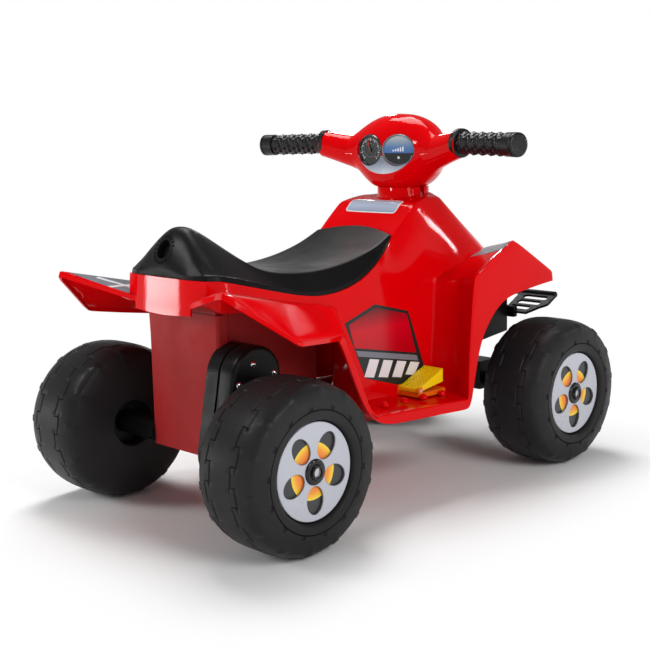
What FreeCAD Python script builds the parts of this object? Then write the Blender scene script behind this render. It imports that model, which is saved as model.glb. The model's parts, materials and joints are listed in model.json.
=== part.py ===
import FreeCAD, Part
import math
import os

from FreeCAD import Vector

os.makedirs("parts", exist_ok=True)

# Kids quad bike. Millimetres, +X forward, +Y left, +Z up.
# The origin is on the floor, midway between the two axles.

# Main sizes
wheelbase = 474.6
body_height = 356.0
body_width = 160.0
guard_width = 300.0
wall = 4.0
overrun = 5.0
running_gap = 0.05
seat_gap = 0.3

# Wheels
tyre_radius = 95.0
tyre_width = 91.0
tyre_inner_y = 115.0
tyre_wall = 4.0
shoulder_radius = 15.0
recess_radius = 28.0
recess_depth = 20.0
rim_radius = 56.0
hubcap_radius = 52.0
hubcap_depth = 5.5
hubcap_thickness = 3.0
window_count = 5
window_place_radius = 31.0
window_half_length = 14.0
window_half_width = 11.8
vent_radius = 2.5
vent_place_radius = 62.0
vent_count = 4
dog_count = 3
dog_radius = 4.0
dog_place_radius = 18.0
dog_length = 8.0
notch_count = 28
notch_width = 6.0
notch_depth = 3.0
notch_length = 20.0
axle_radius = 5.0
cap_radius = 14.0
cap_thickness = 4.0
nut_radius = 8.0
nut_thickness = 4.0
spacer_radius = 9.0
rear_spacer_radius = 14.0

# Steering
head_share = 0.55339
column_radius = 8.0
column_rise = 36.3
bush_wall = 4.0
bush_length = 22.0
bush_low_share = 0.327
collar_radius = 34.0
collar_sink = 9.7
collar_rise = 9.3
collar_gap = 1.0
fork_half_width = 58.0
fork_half_depth = 17.0
fork_height_up = 26.0
fork_height_down = 13.0
fork_neck_radius = 15.0
fork_neck_length = 74.0
fork_bolt_length = 48.0
fork_bolt_radius = 3.0
fork_bolt_head_radius = 5.5
fork_bolt_head = 3.5

# Handlebar, with its heights and setbacks from the head, where the column leaves the tank
pod_top_rise = 104.5
pod_bottom_rise = 10.0
pod_setback = 3.8
pod_depth = 76.0
pod_wall = 3.0
shoulder_y = 50.0
shoulder_rise = 59.0
shoulder_height = 76.0
shoulder_depth = 60.0
arm_root_y = 77.0
arm_root_setback = 15.3
arm_root_rise = 57.0
arm_root_diameter = 42.0
flange_y = 121.0
flange_setback = 26.3
flange_rise = 66.5
arm_end_diameter = 35.0
grip_end_y = 221.5
grip_end_setback = 45.8
grip_end_rise = 64.8
grip_radius = 13.5
grip_flange_radius = 18.0
grip_flange_thickness = 6.0
bar_radius = 8.0
grip_ring_count = 11
grip_ring_height = 1.0
clamp_half_width = 14.0
clamp_margin = 4.0
panel_half_width = 52.0
panel_half_height = 30.0
panel_thickness = 5.0
panel_tilt_deg = 3.0
panel_setback = 36.3
panel_rise = 55.0
dial_radius = 20.5
dial_place_y = 24.0
dial_rise = 58.7
dial_height = 4.0
pod_screw_y = 62.0
pod_screw_rise = 46.0
pod_screw_radius = 2.0
pod_screw_head_radius = 4.0
pod_screw_length = 14.0

# Seat
seat_half_width = 77.0
seat_crown_share = 0.36
seat_crown_drop_share = 0.2
seat_screw_radius = 2.0
seat_screw_head_radius = 4.0
seat_screw_head = 3.0
seat_screw_grip = 6.0
seat_screw_length = 14.0
seat_screw_y = 36.0
seat_screw_shares = (-0.9, -0.3)
seat_shares = (
    (-1.142, 0.815, 0.81, 0.65),
    (-1.087, 0.905, 0.825, 0.85),
    (-1.053, 0.944, 0.822, 0.98),
    (-0.99, 0.957, 0.817, 1.0),
    (-0.881, 0.938, 0.81, 1.0),
    (-0.786, 0.895, 0.805, 1.0),
    (-0.662, 0.84, 0.795, 1.0),
    (-0.56, 0.805, 0.79, 1.0),
    (-0.421, 0.793, 0.789, 1.0),
    (-0.198, 0.805, 0.803, 0.99),
    (0.0, 0.838, 0.836, 0.96),
    (0.093, 0.868, 0.864, 0.86),
    (0.15, 0.883, 0.879, 0.72),
    (0.2, 0.897, 0.893, 0.6),
)

# Drive
gear_module = 1.5
gear_root_share = 1.25
flank_steps = 4
pressure_deg = 25.0
drive_teeth = 44
idler_pinion_teeth = 14
idler_teeth = 44
motor_teeth = 12
gear_thickness = 12.0
gear_backlash = 0.2
layer_gap = 3.0
gear_pin_radius = 4.0
motor_shaft_radius = 2.5
motor_shaft_depth = 30.0
motor_radius = 14.0
motor_length = 54.0
train_lean_deg = 6.5
case_wall = 3.0
case_margin = 4.0
case_screw_radius = 2.0
case_screw_head_radius = 4.0
case_screw_head = 2.5
case_top_share = 0.84
case_screw_shares = ((-0.18, 0.46), (0.68, 0.05), (-0.68, 0.05))
drive_hub_radius = 23.0

# Battery and wiring
battery_length_share = 0.295
battery_width = 47.0
battery_height = 100.0
battery_share = -0.7754
battery_y = 20.0
terminal_width = 6.0
terminal_height = 7.0
terminal_shares = (0.25, 0.75)
strap_width = 20.0
strap_thickness = 2.0
strap_share = 0.7
wire_radius = 2.0
wire_bend_share = 0.45

# Pedal
pedal_width = 31.0
pedal_length = 48.0
pedal_rise = 19.5
pedal_heel_height = 4.0
pedal_toe_drop = 16.5
pedal_heel_inset = 53.47
pedal_centre_y = -98.0
pedal_lift = 0.8
pedal_wall = 2.5
pedal_pin_radius = 2.0
pedal_pin_inset = 4.0
mount_thickness = 5.0
mount_margin = 1.5
ear_thickness = 2.0
ear_height = 7.0
spring_radius = 4.0
spring_wire_radius = 0.7
spring_turns = 4
spring_place = 37.0
switch_place = 14.0
switch_length = 12.0
switch_width = 8.0
switch_height = 5.0
peg_radius = 5.0
peg_height = 6.0
peg_count = 4
peg_pitch = 35.0
peg_inset = 17.97
peg_y = -122.0

# Body, as shares of half the wheelbase, the body height and half the body width
axle_share = 0.26685
seat_line_shares = (
    (0.179, 0.868), (0.06, 0.831), (0.0, 0.794), (-0.152, 0.732), (-0.367, 0.704), (-0.56, 0.713)
)
deck_line_shares = ((-0.56, 0.713), (-1.053, 0.791), (-1.142, 0.803))
tank_line_shares = ((1.2, 0.632), (1.22, 0.685), (0.632, 1.0), (0.316, 0.989))
belly_line_shares = ((-0.6, 0.303), (0.38, 0.303), (0.42, 0.632))
nose_shares = (
    (0.472, 0.7125, 1.0, 1.0, 0.71),
    (0.624, 0.59, 1.0, 1.0, 0.752),
    (0.839, 0.575, 0.913, 0.89, 0.75),
    (1.049, 0.5625, 0.778, 0.8, 0.708),
    (1.214, 0.5, 0.683, 0.7, 0.652),
)
spine_front_shares = ((1.0, 0.29), (1.0, 0.71), (0.94, 0.84), (0.8, 0.965), (0.62, 1.0))
deck_plan_shares = ((-0.53, 0.98), (-1.053, 0.975), (-1.142, 0.61))
deck_base_share = 0.69
box_rear_share = -1.04
box_width_share = 0.75
box_bottom_share = 0.228
box_front_share = 0.36

# Wings and guards, as shares of half the wheelbase, half the guard width and the body height
rear_tip_share = (-1.285, 0.967, 0.797)
rear_corner_share = (-1.026, 1.28, 0.662)
rear_front_share = (-0.577, 1.0, 0.616)
rear_ridge_share = (-0.335, 0.52, 0.665)
rear_root_share = (-1.142, 0.33, 0.742)
rear_lip_share = 0.034
well_rear_top_share = (-0.577, 0.616)
well_rear_foot_share = (-0.39, 0.306)
board_rear_share = (-0.39, 0.322)
board_front_share = (0.337, 0.3)
shield_top_share = (0.36, 0.722)
shield_fold_share = 0.5
shield_fold_set = 18.0
shield_inner_set = 10.0
flank_shares = (
    (0.337, 0.3),
    (0.36, 0.722),
    (0.42, 0.733),
    (0.73, 0.843),
    (1.092, 0.7),
    (1.097, 0.663),
    (0.653, 0.643),
    (0.5, 0.535),
    (0.42, 0.47),
    (0.378, 0.384),
)
mudguard_shares = (
    (0.42, 1.0, 0.733),
    (0.73, 1.0, 0.843),
    (1.092, 1.0, 0.7),
    (1.21, 0.258, 0.665),
    (0.877, 0.363, 0.792),
    (0.4, 0.52, 0.7),
)

# Front cover and bumper, as shares of half the wheelbase and the body height
cover_shares = ((0.47, 0.632), (0.47, 0.44), (0.62, 0.40), (1.19, 0.44), (1.19, 0.632))
cover_half_width = 58.0
arm_inner_y = 54.0
arm_outer_y = 108.0
arm_thickness = 8.0
arm_corner_x = 30.0
arm_corner_y = 26.0
arm_rear_share = (1.2, 0.515)
arm_front_share = (1.395, 0.588)
slot_count = 3
slot_length = 26.0
slot_width = 7.0
slot_pitch = 13.0
bar_bumper_radius = 7.0
bumper_base_depth = 8.0
bumper_base_y = 70.0
bumper_screw_y = 40.0
bumper_screw_radius = 2.0
bumper_screw_head_radius = 4.5
bumper_screw_length = 14.0
cover_shelf_height = 18.0

# Plate behind the tank
plate_half_width = 36.0
plate_thickness = 0.8
plate_top_share = 0.06
plate_foot_share = 0.36

half_base = wheelbase / 2
half_width = body_width / 2
guard_y = guard_width / 2
axle_z = tyre_radius
head_x = head_share * half_base
head_z = axle_z + (1 - axle_share) * body_height
rake = math.atan2(half_base - head_x, head_z - axle_z)
steer_axis = Vector(-math.sin(rake), 0, math.cos(rake))
steer_foot = Vector(half_base, 0, axle_z)
hub_face = tyre_width - hubcap_depth
bore_radius = axle_radius + running_gap
along_x = Vector(1, 0, 0)
along_y = Vector(0, 1, 0)
along_z = Vector(0, 0, 1)
far = 2 * wheelbase
head_length = (head_z - axle_z) / math.cos(rake)
column_top_length = head_length + column_rise
collar_bottom_length = head_length - collar_sink
collar_top_length = head_length + collar_rise
bush_low_length = bush_low_share * head_length
bush_high_length = collar_top_length - bush_length
pod_centre_x = head_x - pod_setback
pod_top_z = head_z + pod_top_rise
pod_bottom_z = head_z + pod_bottom_rise
pod_screw_z = head_z + pod_screw_rise
shoulder_z = head_z + shoulder_rise
arm_root_x = head_x - arm_root_setback
arm_root_z = head_z + arm_root_rise
flange_x = head_x - flange_setback
flange_z = head_z + flange_rise
grip_end_x = head_x - grip_end_setback
grip_end_z = head_z + grip_end_rise
panel_x = head_x - panel_setback
panel_z = head_z + panel_rise
dial_place_z = head_z + dial_rise
battery_x = battery_share * half_base
battery_length = battery_length_share * half_base
pedal_heel_x = board_front_share[0] * half_base - pedal_heel_inset
peg_first_x = board_front_share[0] * half_base - peg_inset


def height(share):
    """The height of a share of the body, which is carried at the axles."""
    return axle_z + (share - axle_share) * body_height


def side_points(shares):
    return [(x * half_base, height(z)) for x, z in shares]


def guard_point(share):
    return Vector(share[0] * half_base, -share[1] * guard_y, height(share[2]))


def face_xz(points, y):
    wire = Part.makePolygon([Vector(x, y, z) for x, z in points + points[:1]])
    return Part.Face(wire)


def face_xy(points, z):
    wire = Part.makePolygon([Vector(x, y, z) for x, y in points + points[:1]])
    return Part.Face(wire)


def face_yz(points, x):
    wire = Part.makePolygon([Vector(x, y, z) for y, z in points + points[:1]])
    return Part.Face(wire)


def prism_xz(points, y0, y1):
    return face_xz(points, y0).extrude(Vector(0, y1 - y0, 0))


def box_between(x0, x1, y0, y1, z0, z1):
    return Part.makeBox(x1 - x0, y1 - y0, z1 - z0, Vector(x0, y0, z0))


def mirrored(shape):
    return shape.mirror(Vector(0, 0, 0), along_y)


def fused(shapes):
    return shapes[0].multiFuse(shapes[1:]).removeSplitter()


def rod(radius, start, end):
    return Part.makeCylinder(radius, (end - start).Length, start, end - start)


def cross_rod(radius, place, y0, y1):
    """A rod along Y at a place in X and Z."""
    return rod(radius, Vector(place[0], y0, place[1]), Vector(place[0], y1, place[1]))


def column_point(length):
    """A point on the steering axis, measured up from the front axle."""
    return steer_foot + steer_axis * length


def shrunk(face, inset):
    return face.makeOffset2D(-inset, 2) if inset else face


def sheet(points, corners, thickness):
    """A folded sheet: triangles of the given points, each given the thickness downwards."""
    pieces = []
    for a, b, c in corners:
        loop = [points[a], points[b], points[c], points[a]]
        pieces.append(Part.Face(Part.makePolygon(loop)).extrude(Vector(0, 0, -thickness)))
    return fused(pieces)


# Body shell
def spine(inset):
    """The middle of the body: side and front outlines crossed with one another, and the tank's nose."""
    side = list(belly_line_shares) + list(tank_line_shares) + list(seat_line_shares)
    side.append((belly_line_shares[0][0], seat_line_shares[-1][1]))
    side_face = face_xz(side_points(side), -far)
    front_right = [(y * half_width, height(z)) for y, z in spine_front_shares]
    front_left = [(-y, z) for y, z in reversed(front_right)]
    front_face = face_yz(front_right + front_left, -far)
    solid = shrunk(side_face, inset).extrude(Vector(0, 2 * far, 0))
    solid = solid.common(shrunk(front_face, inset).extrude(Vector(2 * far, 0, 0)))
    rear = box_between(-far, nose_shares[0][0] * half_base, -far, far, 0, far)
    return solid.common(rear).fuse(nose(inset)).removeSplitter()


def nose(inset):
    """The front of the tank: sections along X, each flat on top with sloping shoulders."""
    base = height(tank_line_shares[0][1]) + inset
    wires = []
    for i, (x, top_y, top_z, low_y, low_z) in enumerate(nose_shares):
        x = x * half_base - (inset if i == len(nose_shares) - 1 else 0)
        top_y = top_y * half_width - inset
        low_y = low_y * half_width - inset
        right = [
            Vector(x, -low_y, base),
            Vector(x, -low_y, height(low_z) - inset / 2),
            Vector(x, -top_y, height(top_z) - inset),
        ]
        left = [Vector(p.x, -p.y, p.z) for p in reversed(right)]
        wires.append(Part.makePolygon(right + left + right[:1]))
    return Part.makeLoft(wires, True, True)


def deck(inset):
    """The seat deck behind the spine, whose rear wall is the band under the seat."""
    side = side_points(deck_line_shares)
    base_z = height(deck_base_share)
    side += [(side[-1][0], base_z), (side[0][0], base_z)]
    plan_right = [(x * half_base, y * half_width) for x, y in deck_plan_shares]
    plan_left = [(x, -y) for x, y in reversed(plan_right)]
    plan_face = face_xy(plan_right + plan_left, 0)
    solid = shrunk(face_xz(side, -far), inset).extrude(Vector(0, 2 * far, 0))
    return solid.common(shrunk(plan_face, inset).extrude(Vector(0, 0, far)))


def rear_wing():
    """The right rear wing: a ridged sheet over the tyre, with a lip along its rear and outer edges."""
    tip = guard_point(rear_tip_share)
    corner = guard_point(rear_corner_share)
    front = guard_point(rear_front_share)
    ridge = guard_point(rear_ridge_share)
    root = guard_point(rear_root_share)
    lip = rear_lip_share * body_height
    pieces = [sheet([tip, corner, front, ridge, root], ((0, 1, 2), (0, 2, 3), (0, 3, 4)), wall)]
    for start, end in ((root, tip), (tip, corner)):
        run = along_z.cross(end - start).normalize() * wall
        loop = [start, end, end + run, start + run, start]
        pieces.append(Part.Face(Part.makePolygon(loop)).extrude(Vector(0, 0, -lip)))
    return fused(pieces)


def strip(start, end, over, up):
    """The outline of a plate in X and Z, with its second face set over or up from the first."""
    return [start, end, (end[0] + over, end[1] + up), (start[0] + over, start[1] + up)]


def footwell():
    """The right footwell: floor, rear wall, and the leg guard that runs up into the front mudguard."""
    inner_y = -half_width + wall / 2
    outer_y = -guard_y
    rear_top, rear_foot = side_points((well_rear_top_share, well_rear_foot_share))
    board_rear, board_front = side_points((board_rear_share, board_front_share))
    board_end = board_front[0] + shield_fold_set + wall
    shield_top = side_points((shield_top_share,))[0]
    walls = [
        strip(board_rear, (board_end, board_line(board_end) - wall), 0, wall),
        strip(rear_top, rear_foot, wall, 0),
    ]
    pieces = [prism_xz(outline, outer_y, inner_y) for outline in walls]
    fold_y = inner_y + (outer_y - inner_y) * shield_fold_share
    folds = []
    for y, forward in ((inner_y, shield_inner_set), (fold_y, shield_fold_set), (outer_y, 0)):
        outline = [(x + forward, z) for x, z in strip(board_front, shield_top, wall, 0)]
        folds.append(face_xz(outline, y).OuterWire)
    pieces.append(Part.makeLoft(folds, True, True))
    pieces.append(prism_xz(side_points(flank_shares), outer_y, outer_y + wall))
    points = [guard_point(share) for share in mudguard_shares]
    pieces.append(sheet(points, ((0, 1, 4), (0, 4, 5), (1, 2, 3), (1, 3, 4)), wall))
    return fused(pieces)


def make_body_shell():
    outer = spine(0).fuse(deck(0))
    side = fused([rear_wing(), footwell()])
    cavity = spine(wall)
    belly = side_points(belly_line_shares)
    inside = half_width - wall
    mouth = box_between(
        belly[0][0] - overrun, belly[1][0] - wall, -inside, inside, 0, belly[0][1] + 2 * wall
    )
    deck_mouth = deck(wall)
    deck_low = height(deck_base_share)
    deck_rear = deck_plan_shares[1][0] * half_base
    inside = half_width - 2 * wall
    below = box_between(
        deck_rear, belly[0][0] + 2 * wall, -inside, inside, 0, deck_low + 2 * wall
    )
    shell = fused([outer, side, mirrored(side)])
    shell = shell.cut(cavity).cut(mouth).cut(deck_mouth).cut(below)
    column_room = rod(column_radius + bush_wall, column_point(0), column_point(column_top_length))
    collar_seat = rod(collar_radius, column_point(collar_bottom_length), column_point(collar_top_length))
    inner, split, outer = case_levels()
    case_room = case_outline(case_radius() + seat_gap, inner, inner - outer + seat_gap)
    shell = shell.cut(column_room).cut(collar_seat).cut(case_room)
    return shell.cut(wire_room()).cut(Part.makeCompound(seat_screws()))


# Tub under the seat and the floor
def tub_outline(inset):
    rear = box_rear_share * half_base + inset
    front = box_front_share * half_base - inset
    low = height(box_bottom_share) + inset
    belly = side_points(belly_line_shares)
    back = belly[0][0] - seat_gap - inset
    top_line = [(x, z - wall - 2 * seat_gap) for x, z in side_points(deck_line_shares)]
    slope = (top_line[1][1] - top_line[0][1]) / (top_line[1][0] - top_line[0][0])
    top_rear = top_line[0][1] + slope * (rear - top_line[0][0])
    top_back = top_line[0][1] + slope * (back - top_line[0][0])
    lift = overrun if inset else 0
    return [
        (rear, low),
        (front, low),
        (front, belly[0][1] - seat_gap + lift),
        (back, belly[0][1] - seat_gap + lift),
        (back, top_back + lift),
        (rear, top_rear + lift),
    ]


def make_lower_body():
    box_half = box_width_share * half_width
    tub = prism_xz(tub_outline(0), -box_half, box_half)
    tub = tub.cut(prism_xz(tub_outline(wall), -box_half + wall, box_half - wall))
    belly = side_points(belly_line_shares)
    top = belly[0][1] - seat_gap
    back = belly[0][0] - seat_gap - wall
    front = box_front_share * half_base
    reach = half_width - wall / 2
    flange = box_between(back, front, -reach, reach, top - wall, top)
    room = box_between(back + wall, front - wall, -box_half + wall, box_half - wall, 0, head_z)
    tub = tub.fuse(flange.cut(room)).removeSplitter()
    axle = rod(bore_radius, Vector(-half_base, -far, axle_z), Vector(-half_base, far, axle_z))
    motor = train_points()[2]
    motor_hole = cross_rod(motor_radius + seat_gap, motor, -far, 0)
    return tub.cut(axle).cut(motor_hole).cut(wire_room())


# Seat
def make_seat():
    """A saddle: cross-sections along X, each flat below, upright at the skirt and peaked above."""
    low_line = seat_base_line()
    wires = []
    stations = seat_heights()
    places = {station[0] for station in stations}
    places |= {x for x, z in low_line if stations[0][0] < x < stations[-1][0]}
    for x in sorted(places):
        base = height_on(low_line, x)
        top, edge, width = [height_on([(s[0], s[k]) for s in stations], x) for k in (1, 2, 3)]
        mid_y = width * seat_crown_share
        mid_z = top - (top - edge) * seat_crown_drop_share
        points = [Vector(x, -width, base), Vector(x, -width, edge)]
        points += [Vector(x, -mid_y, mid_z), Vector(x, 0, top)]
        left = [Vector(p.x, -p.y, p.z) for p in reversed(points[:3])]
        wires.append(Part.makePolygon(points + left + points[:1]))
    return Part.makeLoft(wires, True, True).cut(Part.makeCompound(seat_screws()))


def seat_base_line():
    """The line that the seat rests on, from the rear to the front."""
    front = [tank_line_shares[-1]]
    return side_points(deck_line_shares[::-1] + seat_line_shares[::-1][1:]) + side_points(front)


def height_on(line, x):
    for (x0, z0), (x1, z1) in zip(line, line[1:]):
        if x0 <= x <= x1:
            return z0 + (z1 - z0) * (x - x0) / (x1 - x0)
    return line[-1][1] if x > line[-1][0] else line[0][1]


def seat_heights():
    """Stations of the seat: place along X, heights of the crown and of the edge, and half width."""
    return [
        (x * half_base, height(top), height(edge), width * seat_half_width)
        for x, top, edge, width in seat_shares
    ]


# Wheels
def wheel_profile(points):
    wire = Part.makePolygon([Vector(r, w, 0) for r, w in points + points[:1]])
    return Part.Face(wire).revolve(Vector(0, 0, 0), along_y, 360)


def make_tyre():
    """A hollow moulded wheel: its axis is Y, and its inner side face lies at Y zero."""
    r, w, s = tyre_radius, tyre_width, shoulder_radius
    soft = s * (1 - math.sqrt(0.5))
    outer = [
        (bore_radius, recess_depth),
        (recess_radius, recess_depth),
        (recess_radius, 0),
        (r - s, 0),
        (r - soft, soft),
        (r, s),
        (r, w - s),
        (r - soft, w - soft),
        (r - s, w),
        (rim_radius, w),
        (hubcap_radius + seat_gap, hub_face),
        (bore_radius, hub_face),
    ]
    t = tyre_wall
    hollow = [
        (bore_radius + t, recess_depth + t),
        (recess_radius + t, recess_depth + t),
        (recess_radius + t, t),
        (r - s, t),
        (r - t - soft, soft + t / 2),
        (r - t, s),
        (r - t, w - s),
        (r - t - soft, w - soft - t / 2),
        (r - s, w - t),
        (rim_radius + t, w - t),
        (hubcap_radius + t, hub_face - t),
        (bore_radius + t, hub_face - t),
    ]
    tyre = wheel_profile(outer).cut(wheel_profile(hollow))
    cuts = []
    for i in range(vent_count):
        hole = Part.makeCylinder(vent_radius, 2 * t, Vector(vent_place_radius, -t / 2, 0), along_y)
        cuts.append(hole.rotate(Vector(0, 0, 0), along_y, 360 * (i + 0.5) / vent_count))
    for i in range(dog_count):
        place = Vector(dog_place_radius, recess_depth - t / 2, 0)
        hole = Part.makeCylinder(dog_radius + running_gap, 2 * t, place, along_y)
        cuts.append(hole.rotate(Vector(0, 0, 0), along_y, 360 * i / dog_count))
    for i in range(notch_count):
        for side, phase in ((-overrun, 0), (w - notch_length + overrun, 0.5)):
            low = Vector(r - notch_depth, side, -notch_width / 2)
            notch = Part.makeBox(s, notch_length, notch_width, low)
            cuts.append(notch.rotate(Vector(0, 0, 0), along_y, 360 * (i + phase) / notch_count))
    return tyre.cut(Part.makeCompound(cuts))


def make_hubcap():
    plate = Part.makeCylinder(hubcap_radius, hubcap_thickness, Vector(0, hub_face, 0), along_y)
    cuts = [Part.makeCylinder(cap_radius + seat_gap, far, Vector(0, 0, 0), along_y)]
    for i in range(window_count):
        curve = Part.Ellipse(Vector(0, 0, 0), window_half_length, window_half_width)
        oval = Part.Face(Part.Wire(curve.toShape()))
        oval.rotate(Vector(0, 0, 0), along_x, 90)
        oval.translate(Vector(window_place_radius, 0, 0))
        cuts.append(oval.extrude(Vector(0, far, 0)).rotate(Vector(0, 0, 0), along_y, 360 * i / window_count))
    return plate.cut(Part.makeCompound(cuts))


def make_axle_cap():
    cap = Part.makeCylinder(cap_radius, cap_thickness, Vector(0, hub_face, 0), along_y)
    return cap.cut(Part.makeCylinder(nut_radius + 2 * seat_gap, far, Vector(0, 0, 0), along_y))


def place_wheel(shape, x, left):
    copy = shape.copy()
    copy.translate(Vector(x, tyre_inner_y, axle_z))
    return copy if left else mirrored(copy)


def make_axle(x):
    end = tyre_inner_y + hub_face + nut_thickness
    return rod(axle_radius, Vector(x, -end, axle_z), Vector(x, end, axle_z))


def make_axle_nuts(x):
    start = tyre_inner_y + hub_face + seat_gap
    nut = Part.makeCylinder(nut_radius, nut_thickness, Vector(x, start, axle_z), along_y)
    nut = nut.cut(rod(axle_radius, Vector(x, 0, axle_z), Vector(x, far, axle_z)))
    return Part.makeCompound([nut, mirrored(nut)])


# Steering
def make_column():
    column = rod(column_radius, column_point(fork_height_down), column_point(column_top_length))
    return column.cut(fork_bolt_shank())


def make_column_bushes():
    bushes = []
    for length in (bush_low_length, bush_high_length):
        start = column_point(length)
        end = column_point(length + bush_length)
        outer = rod(column_radius + bush_wall, start, end)
        bushes.append(outer.cut(rod(column_radius + running_gap, start, end)))
    return Part.makeCompound(bushes)


def make_collar():
    outer = rod(collar_radius, column_point(collar_bottom_length), column_point(collar_top_length))
    bore = rod(column_radius + bush_wall, column_point(0), column_point(column_top_length))
    return outer.cut(bore)


def make_fork():
    beam = box_between(
        half_base - fork_half_depth,
        half_base + fork_half_depth,
        -fork_half_width,
        fork_half_width,
        axle_z - fork_height_down,
        axle_z + fork_height_up,
    )
    neck = rod(fork_neck_radius, column_point(0), column_point(fork_neck_length))
    fork = beam.fuse(neck).removeSplitter()
    axle = rod(axle_radius, Vector(half_base, -far, axle_z), Vector(half_base, far, axle_z))
    stem = rod(column_radius, column_point(fork_height_down), column_point(column_top_length))
    return fork.cut(stem).cut(axle).cut(fork_bolt_shank())


def fork_bolt_shank():
    middle = column_point(fork_bolt_length)
    reach = along_y * fork_neck_radius
    return rod(fork_bolt_radius, middle - reach, middle + reach)


def make_fork_bolt():
    """A bolt across the fork's neck, with its nut, that pins the column."""
    middle = column_point(fork_bolt_length)
    reach = along_y * fork_neck_radius
    head = Part.makeCylinder(fork_bolt_head_radius, fork_bolt_head, middle + reach, along_y)
    nut = Part.makeCylinder(fork_bolt_head_radius, fork_bolt_head, middle - reach, -along_y)
    return fused([fork_bolt_shank(), head, nut])


def make_front_spacers():
    start = Vector(half_base, fork_half_width, axle_z)
    end = Vector(half_base, tyre_inner_y + recess_depth - seat_gap, axle_z)
    spacer = rod(spacer_radius, start, end).cut(rod(axle_radius, start, end))
    return Part.makeCompound([spacer, mirrored(spacer)])


def make_rear_spacer():
    start = Vector(-half_base, box_width_share * half_width, axle_z)
    end = Vector(-half_base, tyre_inner_y + recess_depth - seat_gap, axle_z)
    boss = rod(rear_spacer_radius, start, end)
    return boss.cut(rod(axle_radius, start, end))


def ellipse_wire(x, y, z, depth, height):
    """An upright ellipse across the handlebar, square to Y."""
    curve = Part.Ellipse(Vector(0, 0, 0), max(depth, height) / 2, min(depth, height) / 2)
    wire = Part.Wire(curve.toShape())
    wire.rotate(Vector(0, 0, 0), along_x, 90)
    if height > depth:
        wire.rotate(Vector(0, 0, 0), along_y, 90)
    wire.translate(Vector(x, y, z))
    return wire


def pod(inset):
    """The handlebar pod with its two arms, lofted through ellipses from end to end."""
    middle_z = (pod_top_z + pod_bottom_z) / 2
    rows = [
        (flange_x, flange_y, flange_z, arm_end_diameter, arm_end_diameter),
        (arm_root_x, arm_root_y, arm_root_z, arm_root_diameter, arm_root_diameter + 2 * pod_wall),
        (pod_centre_x, shoulder_y, shoulder_z, shoulder_depth, shoulder_height),
        (pod_centre_x, 0, middle_z, pod_depth, pod_top_z - pod_bottom_z),
    ]
    left = [ellipse_wire(x, y, z, depth - 2 * inset, height - 2 * inset) for x, y, z, depth, height in rows]
    sweep = math.degrees(math.atan2(flange_x - grip_end_x, grip_end_y - flange_y))
    left[0].rotate(Vector(flange_x, flange_y, flange_z), along_z, sweep)
    right = [mirrored(wire) for wire in reversed(left[:3])]
    return Part.makeLoft(left + right, True, False)


def panel_place(shape):
    """Turns a shape made round the X axis to the dash's place and tilt."""
    shape.rotate(Vector(0, 0, 0), along_y, panel_tilt_deg)
    shape.translate(Vector(panel_x, 0, panel_z))
    return shape


def dash_oval(half_width_, half_height, start, end):
    curve = Part.Ellipse(Vector(0, 0, 0), half_width_, half_height)
    face = Part.Face(Part.Wire(curve.toShape()))
    face.rotate(Vector(0, 0, 0), along_z, 90)
    face.rotate(Vector(0, 0, 0), along_y, -90)
    face.translate(Vector(start, 0, 0))
    return panel_place(face.extrude(Vector(end - start, 0, 0)))


def bar_bend():
    """Where the straight ends of the handlebar tube meet, ahead of the column."""
    run = (grip_end_x - flange_x) / (grip_end_y - flange_y)
    rise = (grip_end_z - flange_z) / (grip_end_y - flange_y)
    return Vector(flange_x - run * flange_y, 0, flange_z - rise * flange_y)


def bar_end(side, back=0):
    end = Vector(grip_end_x, grip_end_y, grip_end_z)
    inward = (bar_bend() - end).normalize()
    point = end + inward * back
    return Vector(point.x, side * point.y, point.z)


def make_handlebar_tube():
    bend = bar_bend()
    halves = [rod(bar_radius, bend, bar_end(side, pod_wall)) for side in (1, -1)]
    return fused(halves + [Part.makeSphere(bar_radius, bend)])


def make_bar_clamp():
    """A block that holds the bar ahead of the column's top end."""
    bend = bar_bend()
    top = column_point(column_top_length)
    rear = top.x - column_radius - clamp_margin
    front = bend.x + bar_radius + clamp_margin
    low = top.z - column_radius
    high = bend.z + bar_radius + clamp_margin
    block = box_between(rear, front, -clamp_half_width, clamp_half_width, low, high)
    block = block.common(pod(pod_wall + seat_gap))
    return block.cut(make_column()).cut(make_handlebar_tube())


def pod_screw_ends(y):
    rear = Vector(pod_centre_x - pod_screw_length, y, pod_screw_z)
    front = Vector(pod_centre_x + pod_screw_length, y, pod_screw_z)
    return rear, front


def pod_screws():
    """Screws from the front that hold the two pod halves together."""
    shapes = []
    for y in (-pod_screw_y, pod_screw_y):
        rear, front = pod_screw_ends(y)
        head = rod(pod_screw_head_radius, front, front + along_x * pod_screw_radius)
        shapes.append(fused([rod(pod_screw_radius, rear, front), head]))
    return shapes


def pod_bosses():
    """A post inside the pod for each screw, from the rear cover to the front cover."""
    shapes = []
    for y in (-pod_screw_y, pod_screw_y):
        rear, front = pod_screw_ends(y)
        post = rod(pod_screw_head_radius + pod_wall, rear - along_x * far, front + along_x * far)
        shapes.append(post.common(pod(pod_wall / 2)))
    return shapes


def pod_screw_holes():
    shapes = []
    for y in (-pod_screw_y, pod_screw_y):
        rear, front = pod_screw_ends(y)
        shapes.append(rod(pod_screw_radius, rear, front))
        shapes.append(rod(pod_screw_head_radius + seat_gap, front, front + along_x * far))
    return shapes


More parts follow.
